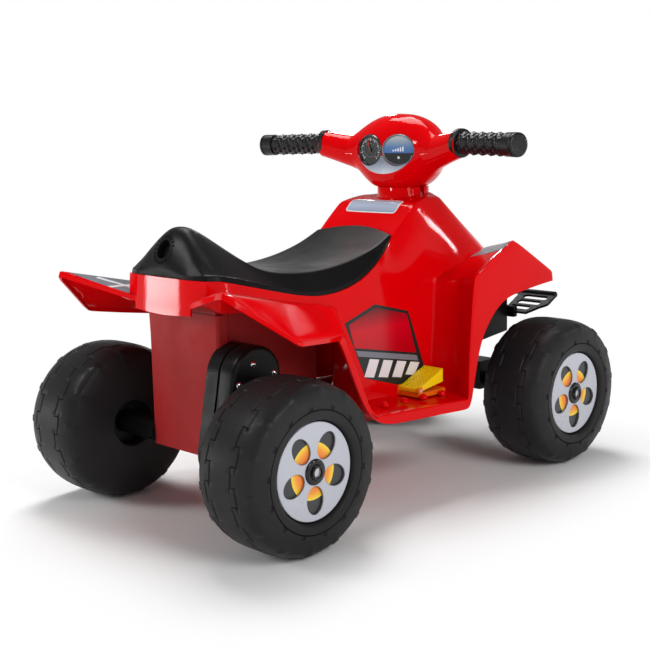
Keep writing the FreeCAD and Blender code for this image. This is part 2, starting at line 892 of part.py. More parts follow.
def make_pod_halves():
    shell = pod(0).cut(pod(pod_wall))
    arm_bores = [rod(bar_radius + seat_gap, bar_bend(), bar_end(side)) for side in (1, -1)]
    stem = rod(column_radius + seat_gap, column_point(0), column_point(column_top_length))
    shell = fused([shell] + pod_bosses())
    dash = dash_oval(panel_half_width + seat_gap, panel_half_height + seat_gap, -far, panel_thickness)
    shell = shell.cut(Part.makeCompound(arm_bores + pod_screw_holes())).cut(stem).cut(dash)
    foot = column_point(collar_top_length) + steer_axis * collar_gap
    shell = shell.cut(rod(2 * collar_radius, column_point(0), foot))
    front = box_between(pod_centre_x, far, -far, far, 0, far)
    return shell.cut(front), shell.common(front)


def make_gauge_panel():
    panel = dash_oval(panel_half_width, panel_half_height, 0, panel_thickness)
    return panel.cut(Part.makeCompound([make_dial(1), make_dial(-1)]))


def make_dial(side):
    offset = dial_place_z - panel_z
    back = Vector(dial_height / 2, side * dial_place_y, offset)
    dial = Part.makeCylinder(dial_radius, dial_height, back, -along_x)
    return panel_place(dial)


def make_grip(side):
    """A grip with a flange at its inner end, a closed outer end and shallow rings between."""
    inner = bar_end(side, grip_length())
    end = bar_end(side)
    axis = (end - inner).normalize()
    grip = rod(grip_radius, inner, end)
    flange = rod(grip_flange_radius, inner, inner + axis * grip_flange_thickness)
    pieces = [grip, flange]
    pitch = grip_length() / (grip_ring_count + 2)
    for i in range(grip_ring_count):
        start = inner + axis * (pitch * (i + 1.5))
        pieces.append(rod(grip_radius + grip_ring_height, start, start + axis * (pitch / 2)))
    return fused(pieces).cut(rod(bar_radius, inner, end - axis * pod_wall))


def grip_length():
    arm = bar_end(1) - Vector(flange_x, flange_y, flange_z)
    return arm.Length - seat_gap


# Front cover and bumper
def make_front_cover():
    outline = side_points(cover_shares)
    cover = prism_xz(outline, -cover_half_width, cover_half_width)
    hollow = shrunk(face_xz(outline, -cover_half_width + wall), wall)
    cover = cover.cut(hollow.extrude(Vector(0, 2 * (cover_half_width - wall), 0)))
    low = column_point(bush_low_length)
    shelf = box_between(
        outline[0][0], outline[3][0], -cover_half_width, cover_half_width, low.z, low.z + cover_shelf_height
    )
    cover = fused([cover, shelf.common(prism_xz(outline, -far, far))])
    bush = rod(column_radius + bush_wall, low, column_point(bush_low_length + bush_length))
    neck = rod(fork_neck_radius + 2 * seat_gap, column_point(0), low)
    stem = rod(column_radius + 2 * seat_gap, column_point(0), column_point(column_top_length))
    half = fork_bolt_head_radius + seat_gap
    bolt_room = rod(
        math.hypot(fork_neck_radius + fork_bolt_head, fork_bolt_head_radius) + seat_gap,
        column_point(fork_bolt_length - half),
        column_point(fork_bolt_length + half),
    )
    cover = cover.cut(bush).cut(neck).cut(stem).cut(bolt_room)
    return cover.cut(Part.makeCompound(bumper_screws()))


def bumper_front():
    return cover_shares[3][0] * half_base


def bumper_screw_z():
    return height(arm_rear_share[1])


def bumper_screws():
    screws = []
    face = bumper_front() + bumper_base_depth
    z = bumper_screw_z()
    for y in (-bumper_screw_y, bumper_screw_y):
        shank = rod(bumper_screw_radius, Vector(face - bumper_screw_length, y, z), Vector(face, y, z))
        head = rod(bumper_screw_head_radius, Vector(face, y, z), Vector(face + bumper_screw_radius, y, z))
        screws.append(fused([shank, head]))
    return screws


def make_bumper():
    """A base across the cover, two slotted arms that rise forward and a bar across their ends."""
    front_x = bumper_front()
    z = bumper_screw_z()
    depth = bumper_base_depth
    base = box_between(front_x, front_x + depth, -bumper_base_y, bumper_base_y, z - depth, z + depth)
    rear, front = side_points((arm_rear_share, arm_front_share))
    run = Vector(front[0] - rear[0], 0, front[1] - rear[1])
    up = Vector(-run.z, 0, run.x).normalize() * arm_thickness
    loop = [rear, front, (front[0] + up.x, front[1] + up.z), (rear[0] + up.x, rear[1] + up.z)]
    arm = prism_xz(loop, arm_inner_y, arm_outer_y).common(box_between(front_x, far, 0, far, 0, far))
    corner = [
        (rear[0] - overrun, arm_outer_y - arm_corner_y),
        (rear[0], arm_outer_y - arm_corner_y),
        (rear[0] + arm_corner_x, arm_outer_y),
        (rear[0] - overrun, arm_outer_y),
    ]
    arm = arm.cut(face_xy(corner, 0).extrude(along_z * far))
    middle_y = (arm_inner_y + arm_outer_y - slot_length) / 2
    along = Vector(run).normalize()
    start = Vector(rear[0], middle_y, rear[1]) + run * 0.5 - along * (slot_pitch * (slot_count - 1) / 2)
    for i in range(slot_count):
        slot = Part.makeBox(slot_width, slot_length, far, Vector(-slot_width / 2, 0, -far / 2))
        slot.rotate(Vector(0, 0, 0), along_y, -math.degrees(math.atan2(run.z, run.x)))
        slot.translate(start + along * (slot_pitch * i))
        arm = arm.cut(slot)
    tip = Vector(front[0] - bar_bumper_radius, 0, front[1])
    bar = rod(bar_bumper_radius, tip - along_y * arm_outer_y, tip + along_y * arm_outer_y)
    bumper = fused([base, arm, mirrored(arm), bar])
    return bumper.cut(Part.makeCompound(bumper_screws()))


# Drive
def pitch_radius(teeth):
    return teeth * gear_module / 2


def train_points():
    """Centres of the wheel gear, the idler and the motor, in X and Z."""
    lean = math.radians(train_lean_deg)
    first = pitch_radius(drive_teeth) + pitch_radius(idler_pinion_teeth)
    second = pitch_radius(idler_teeth) + pitch_radius(motor_teeth)
    places = []
    for reach in (0, first, first + second):
        places.append((-half_base + reach * math.sin(lean), axle_z + reach * math.cos(lean)))
    return places


def layer_y(layer):
    """The inner face of a gear layer, counted out from the tub's side."""
    inner = box_width_share * half_width + seat_gap + case_wall + layer_gap
    return inner + layer * (gear_thickness + layer_gap)


def tooth_side(teeth):
    """One flank of a tooth as angle and radius, from the root to the tip, centred on angle zero."""
    pressure = math.radians(pressure_deg)
    pitch = pitch_radius(teeth)
    base = pitch * math.cos(pressure)
    half = (math.pi * gear_module / 2 - gear_backlash) / (2 * pitch)
    spread = math.tan(pressure) - pressure
    root = pitch - gear_root_share * gear_module
    start = max(base, root)
    points = []
    if root < base:
        points.append((half + spread, root))
    for i in range(flank_steps + 1):
        radius = start + (pitch + gear_module - start) * i / flank_steps
        roll = math.sqrt((radius / base) ** 2 - 1)
        points.append((half + spread - (roll - math.atan(roll)), radius))
    return points


def gear(teeth, place, y, thickness, towards, gap_first):
    """A spur gear about an axis along Y, with a tooth, or a gap, facing the given direction."""
    flank = tooth_side(teeth)
    step = 2 * math.pi / teeth
    turn = math.atan2(towards[1] - place[1], towards[0] - place[0]) + (step / 2 if gap_first else 0)
    loop = []
    for i in range(teeth):
        centre = turn + i * step
        for angle, radius in flank:
            loop.append((centre - angle, radius))
        for angle, radius in reversed(flank):
            loop.append((centre + angle, radius))
    points = [(place[0] + r * math.cos(a), place[1] + r * math.sin(a)) for a, r in loop]
    return prism_xz(points, y, y + thickness)


def make_drive_gear():
    wheel, idler = train_points()[:2]
    y = -layer_y(1) - gear_thickness
    body = gear(drive_teeth, wheel, y, gear_thickness, idler, False)
    floor = -tyre_inner_y - recess_depth
    hub = cross_rod(drive_hub_radius, wheel, floor, y)
    dogs = []
    for i in range(dog_count):
        dog = Part.makeCylinder(dog_radius, dog_length, Vector(dog_place_radius, -dog_length, 0), along_y)
        dog.rotate(Vector(0, 0, 0), along_y, 360 * i / dog_count)
        dog.translate(Vector(wheel[0], floor + dog_length - tyre_wall, wheel[1]))
        dogs.append(dog)
    return fused([body, hub] + dogs).cut(cross_rod(bore_radius, wheel, -far, 0))


def make_idler_gear():
    wheel, idler, motor = train_points()
    reach = gear_thickness + layer_gap
    small = gear(idler_pinion_teeth, idler, -layer_y(1) - gear_thickness, reach, wheel, True)
    large = gear(idler_teeth, idler, -layer_y(0) - gear_thickness, gear_thickness, motor, False)
    return fused([small, large]).cut(cross_rod(gear_pin_radius + running_gap, idler, -far, 0))


def make_motor_pinion():
    idler, motor = train_points()[1:]
    y = -layer_y(0) - gear_thickness
    teeth = gear(motor_teeth, motor, y, gear_thickness, idler, True)
    face = -box_width_share * half_width
    return fused([teeth, cross_rod(motor_shaft_radius, motor, y, face + motor_shaft_depth)])


def case_outline(radius, y, thickness):
    wheel, idler, motor = [Vector(x, y, z) for x, z in train_points()]
    top_radius = radius - case_radius() * (1 - case_top_share)
    lower = Part.makeCylinder(radius, thickness, wheel, -along_y)
    upper = Part.makeCylinder(top_radius, thickness, motor, -along_y)
    along = (motor - wheel).normalize()
    across = along.cross(along_y)
    lean = (radius - top_radius) / (motor - wheel).Length
    hold = math.sqrt(1 - lean ** 2)
    side = across * hold + along * lean
    other = along * lean - across * hold
    loop = [wheel + side * radius, motor + side * top_radius]
    loop += [motor + other * top_radius, wheel + other * radius, loop[0]]
    middle = Part.Face(Part.makePolygon(loop)).extrude(-along_y * thickness)
    return fused([lower, upper, middle])


def case_radius():
    return pitch_radius(drive_teeth) + gear_module + case_margin + case_wall


def case_levels():
    inner = -box_width_share * half_width - seat_gap
    split = -layer_y(1) + layer_gap / 2
    outer = -layer_y(2) - case_wall
    return inner, split, outer


def case_screw_places():
    motor = train_points()[2]
    reach = case_radius() * case_top_share
    return [(motor[0] + x * reach, motor[1] + z * reach) for x, z in case_screw_shares]


def case_screws():
    inner, split, outer = case_levels()
    screws = []
    for place in case_screw_places():
        shank = cross_rod(case_screw_radius, place, outer, inner)
        head = cross_rod(case_screw_head_radius, place, outer - case_screw_head, outer)
        screws.append(fused([shank, head]))
    return screws


def make_case(start, end, floor_first):
    """One half of the gearbox case: a floor, a rim and bosses for the screws."""
    depth = start - end
    half = case_outline(case_radius(), start, depth)
    room_start = start - case_wall if floor_first else start + overrun
    room_end = end - overrun if floor_first else end + case_wall
    half = half.cut(case_outline(case_radius() - case_wall, room_start, room_start - room_end))
    bosses = [cross_rod(case_screw_head_radius, place, end, start) for place in case_screw_places()]
    half = fused([half] + bosses).cut(Part.makeCompound(case_screws()))
    wheel, idler, motor = train_points()
    hub = bore_radius if floor_first else drive_hub_radius + seat_gap
    holes = [cross_rod(gear_pin_radius, idler, -far, 0), cross_rod(hub, wheel, -far, 0)]
    if floor_first:
        holes.append(cross_rod(motor_shaft_radius + running_gap, motor, -far, 0))
    return half.cut(Part.makeCompound(holes))


def make_gear_pin():
    inner, split, outer = case_levels()
    return cross_rod(gear_pin_radius, train_points()[1], outer, inner)


def make_motor():
    motor = train_points()[2]
    inner = case_levels()[0]
    can = cross_rod(motor_radius, motor, inner, inner + motor_length)
    return can.cut(cross_rod(motor_shaft_radius + running_gap, motor, -far, far))


# Battery and wiring
def tub_floor():
    return height(box_bottom_share) + wall


def battery_low():
    return Vector(battery_x - battery_length / 2, battery_y - battery_width / 2, tub_floor())


def terminal_places():
    low = battery_low()
    x = low.x + battery_length / 4
    return [Vector(x, low.y + battery_width * share, low.z + battery_height) for share in terminal_shares]


def make_battery():
    case = Part.makeBox(battery_length, battery_width, battery_height, battery_low())
    width = terminal_width
    corner = Vector(width / 2, width / 2, 0)
    posts = [Part.makeBox(width, width, terminal_height, place - corner) for place in terminal_places()]
    return fused([case] + posts)


def make_battery_strap():
    low = battery_low()
    x = low.x + battery_length * strap_share
    y0, y1 = low.y, low.y + battery_width
    top = low.z + battery_height
    t = strap_thickness
    outer = box_between(x - strap_width / 2, x + strap_width / 2, y0 - t, y1 + t, low.z, top + t)
    return outer.cut(box_between(x - strap_width, x + strap_width, y0, y1, 0, top))


def bent_wire(points, radius):
    """A tube along straight runs joined by arcs, each as large as its two runs allow."""
    edges = []
    start = points[0]
    for before, corner, after in zip(points, points[1:], points[2:]):
        back = (before - corner).normalize()
        ahead = (after - corner).normalize()
        reach = wire_bend_share * min((before - corner).Length, (after - corner).Length)
        first = corner + back * reach
        last = corner + ahead * reach
        half_turn = back.getAngle(ahead) / 2
        bisector = (back + ahead).normalize()
        centre = corner + bisector * (reach / math.cos(half_turn))
        middle = centre - bisector * (reach * math.tan(half_turn))
        edges.append(Part.LineSegment(start, first).toShape())
        edges.append(Part.Arc(first, middle, last).toShape())
        start = last
    edges.append(Part.LineSegment(start, points[-1]).toShape())
    path = Part.Wire(edges)
    ring = Part.Wire(Part.Circle(points[0], points[1] - points[0], radius).toShape())
    return path.makePipeShell([ring], True, True)


def wire_routes():
    """From the battery posts to the motor and to the switch under the pedal."""
    post_right, post_left = [p + along_z * terminal_height for p in terminal_places()]
    motor = train_points()[2]
    end_y = case_levels()[0] + motor_length
    over = Vector(0, 0, 3 * terminal_height)
    to_motor = [
        post_right,
        post_right + over,
        Vector(motor[0], post_right.y + over.z, post_right.z + over.z),
        Vector(motor[0], post_right.y + over.z, motor[1]),
        Vector(motor[0], end_y, motor[1]),
    ]
    mount_side = pedal_centre_y + ear_y() + ear_thickness
    switch = Vector(switch_low().x, mount_side, mount_top() - mount_thickness / 2)
    to_switch = [
        post_left,
        post_left + over,
        Vector(switch.x, post_left.y, post_left.z + over.z),
        Vector(switch.x, post_left.y, switch.z),
        switch,
    ]
    return to_motor, to_switch


def make_harness():
    return Part.makeCompound([bent_wire(route, wire_radius) for route in wire_routes()])


def wire_room():
    return Part.makeCompound([bent_wire(route, wire_radius + seat_gap) for route in wire_routes()])


# Pedal
def board_line(x):
    """Height of the footboard's top at a place along X."""
    rear, front = side_points((board_rear_share, board_front_share))
    return rear[1] + (front[1] - rear[1]) * (x - rear[0]) / (front[0] - rear[0]) + wall


def mount_top():
    return board_line(pedal_heel_x) + mount_thickness


def pedal_pin_place():
    z = mount_top() + pedal_lift + pedal_heel_height / 2
    return Vector(pedal_heel_x + pedal_pin_inset, pedal_centre_y, z)


def pedal_side(inset):
    """The pedal's wedge in X and Z: low at the heel, high at the toe, open below."""
    low = mount_top() + pedal_lift
    heel, toe = pedal_heel_x, pedal_heel_x + pedal_length
    top = low + pedal_heel_height
    drop = overrun if inset else 0
    inner_heel = heel + (2 * pedal_pin_inset if inset else 0)
    slope = pedal_rise / pedal_length
    return [
        (inner_heel, low - drop),
        (toe - inset, low + pedal_rise + pedal_heel_height - pedal_toe_drop - drop),
        (toe - inset, top + pedal_rise - inset * (1 + slope)),
        (inner_heel, top + slope * (inner_heel - heel) - inset),
    ]


def make_pedal():
    y0 = pedal_centre_y - pedal_width / 2
    y1 = pedal_centre_y + pedal_width / 2
    hollow = prism_xz(pedal_side(pedal_wall), y0 + pedal_wall, y1 - pedal_wall)
    pedal = prism_xz(pedal_side(0), y0, y1).cut(hollow)
    pin = pedal_pin_place()
    return pedal.cut(rod(pedal_pin_radius + running_gap, pin - along_y * far, pin + along_y * far))


def ear_y():
    return pedal_width / 2 + seat_gap


def make_pedal_mount():
    """The base under the pedal, which follows the sloping footboard, with an ear at each side."""
    x0 = pedal_heel_x - mount_margin
    x1 = pedal_heel_x + pedal_length + mount_margin
    top = mount_top()
    reach = ear_y() + ear_thickness
    loop = [(x0, board_line(x0)), (x1, board_line(x1)), (x1, top), (x0, top)]
    base = prism_xz(loop, pedal_centre_y - reach, pedal_centre_y + reach)
    pin = pedal_pin_place()
    ears = []
    for y in (pedal_centre_y - reach, pedal_centre_y + ear_y()):
        ears.append(Part.makeBox(2 * pedal_pin_inset, ear_thickness, ear_height, Vector(x0, y, top)))
    return fused([base] + ears).cut(rod(pedal_pin_radius, pin - along_y * far, pin + along_y * far))


def make_pedal_pin():
    pin = pedal_pin_place()
    reach = ear_y() + ear_thickness
    return rod(pedal_pin_radius, pin - along_y * reach, pin + along_y * reach)


def spring_place_x():
    return pedal_heel_x + spring_place


def spring_height():
    slope = pedal_rise / pedal_length
    ceiling = pedal_lift + pedal_heel_height + slope * (spring_place - spring_radius) - pedal_wall
    return ceiling - 4 * spring_wire_radius


def make_pedal_spring():
    height = spring_height() - 2 * spring_wire_radius
    helix = Part.makeHelix(height / spring_turns, height, spring_radius)
    ring = Part.Wire(Part.Circle(Vector(spring_radius, 0, 0), along_y, spring_wire_radius).toShape())
    spring = Part.Wire(helix).makePipeShell([ring], True, True)
    spring.translate(Vector(spring_place_x(), pedal_centre_y, mount_top() + spring_wire_radius + seat_gap))
    return spring


def switch_low():
    return Vector(pedal_heel_x + switch_place, pedal_centre_y - switch_width / 2, mount_top())


def make_pedal_switch():
    return Part.makeBox(switch_length, switch_width, switch_height, switch_low())


def make_pegs():
    pegs = []
    for side in (1, -1):
        for i in range(peg_count):
            x = peg_first_x - i * peg_pitch
            low = Vector(x, side * peg_y, board_line(x) + seat_gap)
            dome = Part.makeSphere(peg_radius, low + along_z * (peg_height - peg_radius))
            stem = rod(peg_radius, low, low + along_z * (peg_height - peg_radius))
            upper = box_between(x - far, x + far, -far, far, low.z + peg_height - peg_radius, far)
            pegs.append(fused([stem, dome.common(upper)]))
    return Part.makeCompound(pegs)


def make_dash_plate():
    """A thin plate on the sloping panel between the seat and the tank top."""
    top, foot = side_points((tank_line_shares[-1], seat_line_shares[0]))
    start = Vector(top[0], 0, top[1])
    run = Vector(foot[0] - top[0], 0, foot[1] - top[1])
    out = Vector(run.z, 0, -run.x).normalize() * plate_thickness
    first = start + run * plate_top_share
    last = start + run * plate_foot_share
    loop = [first, last, last + out, first + out, first]
    face = Part.Face(Part.makePolygon([p - along_y * plate_half_width for p in loop]))
    return face.extrude(along_y * (2 * plate_half_width))


def seat_screws():
    """Screws from below, through the deck and into the seat."""
    screws = []
    for share in seat_screw_shares:
        for y in (-seat_screw_y, seat_screw_y):
            x = share * half_base
            z = height_on(seat_base_line(), x)
            neck = z - seat_screw_grip
            head = rod(seat_screw_head_radius, Vector(x, y, neck - seat_screw_head), Vector(x, y, neck))
            shank = rod(seat_screw_radius, Vector(x, y, neck), Vector(x, y, z + seat_screw_length))
            screws.append(fused([head, shank]))
    return screws


# Export
def save(name, shape):
    shape.exportStep("parts/" + name + ".step")


save("body_shell", make_body_shell())
save("lower_body", make_lower_body())
save("seat", make_seat())
save("seat_screws", Part.makeCompound(seat_screws()))
save("dash_plate", make_dash_plate())
save("steering_collar", make_collar())
save("column_bushes", make_column_bushes())
save("front_cover", make_front_cover())
save("front_bumper", make_bumper())
save("bumper_screws", Part.makeCompound(bumper_screws()))

rear_cover, front_cover = make_pod_halves()
save("handlebar_rear_cover", rear_cover)
save("handlebar_front_cover", front_cover)
save("handlebar_screws", Part.makeCompound(pod_screws()))
save("handlebar_tube", make_handlebar_tube())
save("bar_clamp", make_bar_clamp())
save("gauge_panel", make_gauge_panel())
save("gauge_left", make_dial(1))
save("gauge_right", make_dial(-1))
save("grip_left", make_grip(1))
save("grip_right", make_grip(-1))
save("steering_column", make_column())
save("steering_fork", make_fork())
save("fork_bolt", make_fork_bolt())
save("front_axle_spacers", make_front_spacers())

case_inner, case_split, case_outer = case_levels()
save("gearbox_inner_case", make_case(case_inner, case_split, True))
save("gearbox_outer_case", make_case(case_split, case_outer, False))
save("gearbox_screws", Part.makeCompound(case_screws()))
save("gear_pin", make_gear_pin())
save("drive_gear", make_drive_gear())
save("idler_gear", make_idler_gear())
save("motor_pinion", make_motor_pinion())
save("motor", make_motor())
save("rear_axle_spacer", make_rear_spacer())

save("battery", make_battery())
save("battery_strap", make_battery_strap())
save("wiring_harness", make_harness())

save("pedal", make_pedal())
save("pedal_mount", make_pedal_mount())
save("pedal_pin", make_pedal_pin())
save("pedal_spring", make_pedal_spring())
save("pedal_switch", make_pedal_switch())
save("foot_pegs", make_pegs())

tyre = make_tyre()
hubcap = make_hubcap()
axle_cap = make_axle_cap()
for end, x in (("front", half_base), ("rear", -half_base)):
    for side in ("left", "right"):
        save("tyre_" + end + "_" + side, place_wheel(tyre, x, side == "left"))
        save("hubcap_" + end + "_" + side, place_wheel(hubcap, x, side == "left"))
        save("axle_cap_" + end + "_" + side, place_wheel(axle_cap, x, side == "left"))
    save(end + "_axle", make_axle(x))
    save(end + "_axle_nuts", make_axle_nuts(x))
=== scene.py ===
import json
from contextlib import contextmanager
from math import acos, atan2, copysign, cos, degrees, pi, radians, sin, tan

import bmesh
import bpy
from mathutils import Matrix, Vector
from mathutils.bvhtree import BVHTree


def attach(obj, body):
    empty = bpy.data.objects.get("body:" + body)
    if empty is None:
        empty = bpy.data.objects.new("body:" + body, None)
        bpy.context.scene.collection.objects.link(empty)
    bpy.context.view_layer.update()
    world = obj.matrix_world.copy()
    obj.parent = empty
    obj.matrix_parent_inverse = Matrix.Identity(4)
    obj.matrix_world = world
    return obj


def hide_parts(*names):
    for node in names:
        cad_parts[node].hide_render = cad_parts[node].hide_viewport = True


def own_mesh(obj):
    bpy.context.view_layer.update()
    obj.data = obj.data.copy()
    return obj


# Kids quad bike: the looks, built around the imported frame.
# Points are in millimetres as (x, out, z): +X forward, "out" away from the middle plane, +Z up.
MM = 0.001

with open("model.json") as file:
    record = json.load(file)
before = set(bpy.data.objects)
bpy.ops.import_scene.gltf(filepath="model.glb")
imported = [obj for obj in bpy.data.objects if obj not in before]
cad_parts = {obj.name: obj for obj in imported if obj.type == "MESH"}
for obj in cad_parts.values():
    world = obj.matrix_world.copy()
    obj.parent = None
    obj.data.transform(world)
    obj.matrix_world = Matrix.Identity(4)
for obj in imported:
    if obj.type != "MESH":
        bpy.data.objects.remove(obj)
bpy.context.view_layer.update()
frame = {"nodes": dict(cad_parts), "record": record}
scene = bpy.context.scene

# Sizes shared by several pieces
wheel_x = 237.3
axle_z = 95.0
tyre_inner_y = 115.0
signs = {"left": 1, "right": -1}
quarter_turn = radians(90)
up = (0, 0, 1)


# Mesh helpers
def new_object(name, data):
    piece = bpy.data.objects.new(name, data)
    scene.collection.objects.link(piece)
    return piece


def at(x, y, z):
    """A move given in millimetres."""
    return Matrix.Translation(Vector((x, y, z)) * MM)


def spun(angle, axis):
    return Matrix.Rotation(angle, 4, axis)


def facing_along(direction, axis, roll_axis):
    """The turn that brings an axis to a direction."""
    return direction.to_track_quat(axis, roll_axis).to_matrix().to_4x4()


@contextmanager
def editing(piece):
    """A piece's mesh, open for edits that are then written back."""
    bm = bmesh.new()
    bm.from_mesh(piece.data)
    yield bm
    bm.to_mesh(piece.data)
    bm.free()


def outward(piece, probe=None):
    """Turns all faces to the outside, or so that on the whole they follow a direction."""
    with editing(piece) as bm:
        bmesh.ops.recalc_face_normals(bm, faces=bm.faces)
        if probe is not None and sum(f.normal.dot(Vector(probe)) * f.calc_area() for f in bm.faces) < 0:
            bmesh.ops.reverse_faces(bm, faces=bm.faces)


def from_faces(name, faces, probe=None):
    """An object from faces given as loops of points; equal points are welded."""
    verts, index, loops = [], {}, []
    for face in faces:
        loop = []
        for point in face:
            key = tuple(round(c, 3) for c in point)
            if key not in index:
                index[key] = len(verts)
                verts.append([c * MM for c in point])
            if index[key] not in loop:
                loop.append(index[key])
        if len(loop) > 2:
            loops.append(loop)
    mesh = bpy.data.meshes.new(name)
    mesh.from_pydata(verts, [], loops)
    mesh.validate()
    piece = new_object(name, mesh)
    outward(piece, probe)
    return piece


def grid(rows):
    """Quads between neighbouring rows of points."""
    return [
        (a[i], a[i + 1], b[i + 1], b[i])
        for a, b in zip(rows, rows[1:])
        for i in range(len(a) - 1)
    ]


def both_sides(faces):
    """Faces for the right side, where out is -Y, and their mirror image."""
    right = [[(x, -y, z) for x, y, z in face] for face in faces]
    left = [[(x, y, z) for x, y, z in reversed(face)] for face in faces]
    return right + left


def placed(faces, stand):
    """Faces moved by a matrix in millimetres."""
    return [[tuple(stand @ Vector(point)) for point in face] for face in faces]


def final_mesh(piece):
    """A new mesh of a piece as its modifiers, or its curve, make it."""
    bpy.context.view_layer.update()
    graph = bpy.context.evaluated_depsgraph_get()
    return bpy.data.meshes.new_from_object(piece.evaluated_get(graph))


def modify(piece, kind, **settings):
    """Adds a modifier and applies it to the mesh."""
    added = piece.modifiers.new(kind.lower(), kind)
    for key, value in settings.items():
        setattr(added, key, value)
    mesh = final_mesh(piece)
    piece.modifiers.clear()
    piece.data = mesh


def spot(point, scale=1.0):
    """A rounded place by which points are matched, the same on both sides."""
    x, y, z = point
    return round(x * scale, 5), round(abs(y) * scale, 5), round(z * scale, 5)


def crease(piece, low_deg, high_deg, most, line, line_value, corners=(), corner_value=0.9):
    """Creases a cage's edges by how sharply faces meet; a line and corners have their own values."""
    line = {spot(point, MM) for point in line}
    corners = {spot(point, MM) for point in corners}
    with editing(piece) as bm:
        edge_layer = bm.edges.layers.float.new("crease_edge")
        vert_layer = bm.verts.layers.float.new("crease_vert")
        for edge in bm.edges:
            edge[edge_layer] = 1.0
            if len(edge.link_faces) == 2:
                angle = degrees(edge.calc_face_angle())
                edge[edge_layer] = most * min(max((angle - low_deg) / (high_deg - low_deg), 0.0), 1.0)
            if all(spot(vert.co) in line for vert in edge.verts):
                edge[edge_layer] = line_value
        for vert in bm.verts:
            if spot(vert.co) in corners:
                vert[vert_layer] = corner_value


def dress(piece, material, body, replaces=(), sharp=None):
    """Gives a piece its shading, material and body, and hides the nodes that it stands for."""
    if sharp:
        piece.data.shade_smooth()
        piece.data.set_sharp_from_angle(angle=radians(sharp))
    piece.data.materials.clear()
    piece.data.materials.append(material)
    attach(piece, body)
    if replaces:
        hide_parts(*replaces)


def revolve(profile, segments):
    """Faces of a profile of (radius, along) points turned about Y."""
    rows = []
    for i in range(segments + 1):
        turn = 2 * pi * (i % segments) / segments
        rows.append([(r * cos(turn), w, r * sin(turn)) for r, w in profile])
    return grid(rows)


def outline_plate(name, outlines, depth, bevel=0.0, resolution=2):
    """A flat plate in XY from closed outlines, the first one solid and the others holes."""
    curve = bpy.data.curves.new(name, "CURVE")
    curve.dimensions = "2D"
    curve.fill_mode = "BOTH"
    for points in outlines:
        spline_points = curve.splines.new("POLY")
        spline_points.points.add(len(points) - 1)
        for target, (x, y) in zip(spline_points.points, points):
            target.co = (x * MM, y * MM, 0, 1)
        spline_points.use_cyclic_u = True
    curve.extrude = depth / 2 * MM
    curve.bevel_depth = bevel * MM
    curve.bevel_resolution = resolution
    source = new_object(name + "_outline", curve)
    mesh = final_mesh(source)
    bpy.data.objects.remove(source)
    bpy.data.curves.remove(curve)
    return new_object(name, mesh)


def stood_up(piece, across):
    """Turns a plate made in XY to face outwards along Y, its middle at a distance across."""
    piece.data.transform(at(0, across, 0) @ spun(quarter_turn, "X"))
    return piece


def box_faces(low, high):
    """The six faces of a box between two corners."""
    (x0, y0, z0), (x1, y1, z1) = low, high
    a, b, c, d = (x0, y0, z0), (x1, y0, z0), (x1, y1, z0), (x0, y1, z0)
    e, f, g, h = (x0, y0, z1), (x1, y0, z1), (x1, y1, z1), (x0, y1, z1)
    return [(a, d, c, b), (e, f, g, h), (a, b, f, e), (b, c, g, f), (c, d, h, g), (d, a, e, h)]


def cut(piece, tool):
    """Takes a tool's shape away from a piece, and the tool with it."""
    outward(tool)
    modify(piece, "BOOLEAN", operation="DIFFERENCE", object=tool, solver="EXACT")
    bpy.data.objects.remove(tool)


def tree_of(piece):
    mesh = piece.data
    return BVHTree.FromPolygons([v.co for v in mesh.vertices], [p.vertices for p in mesh.polygons])


def film(name, outline, toward, tree, lift, look, body="chassis", longest=7.0, replaces=()):
    """A thin print on a surface: an outline of points near it, dropped against the direction toward."""
    thickness, reach, most_rounds = 0.25, 50.0, 7
    toward = Vector(toward).normalized()
    bm = bmesh.new()
    bm.faces.new([bm.verts.new(Vector(point) * MM) for point in outline])
    bmesh.ops.triangulate(bm, faces=bm.faces)
    for _ in range(most_rounds):
        wide = [edge for edge in bm.edges if edge.calc_length() > longest * MM]
        if not wide:
            break
        bmesh.ops.subdivide_edges(bm, edges=wide, cuts=1)
        bmesh.ops.triangulate(bm, faces=bm.faces)
    for vert in bm.verts:
        place = tree.ray_cast(vert.co + toward * reach * MM, -toward, 2 * reach * MM)[0]
        if place:
            vert.co = place + toward * lift * MM
    mesh = bpy.data.meshes.new(name)
    bm.to_mesh(mesh)
    bm.free()
    piece = new_object(name, mesh)
    outward(piece, toward)
    modify(piece, "SOLIDIFY", thickness=thickness * MM, offset=-1.0)
    dress(piece, look, body, replaces, sharp=40)


def mirrored(points, side):
    """Points of the right side, or their mirror image on the left, in the same turning sense."""
    if side == "right":
        return [(x, -out, z) for x, out, z in points]
    return [(x, out, z) for x, out, z in reversed(points)]


def ring_points(radius, count, centre=(0, 0), squash=1.0, turn=0.0):
    """Points round an ellipse, whose first half axis points along turn."""
    points = []
    c, s = cos(turn), sin(turn)
    for i in range(count):
        a = 2 * pi * i / count
        u, v = radius * cos(a), radius * squash * sin(a)
        points.append((centre[0] + u * c - v * s, centre[1] + u * s + v * c))
    return points


def arc(centre, half_width, start, sweep, steps, half_height=None):
    """Points along an arc of an ellipse, its angles in radians."""
    half_height = half_height or half_width
    turns = [start + sweep * i / steps for i in range(steps + 1)]
    return [(centre[0] + half_width * cos(t), centre[1] + half_height * sin(t)) for t in turns]


# Shader helpers
noise_low, noise_high = 0.3, 0.7


def shader_for(name):
    material = bpy.data.materials.new(name)
    material.use_nodes = True
    tree = material.node_tree
    return material, tree, tree.nodes["Principled BSDF"]


def feed(node, inputs):
    """Sets a node's inputs to constants, or links them to other nodes' outputs."""
    for key, value in inputs.items():
        if isinstance(value, bpy.types.NodeSocket):
            node.id_data.links.new(value, node.inputs[key])
        else:
            node.inputs[key].default_value = value


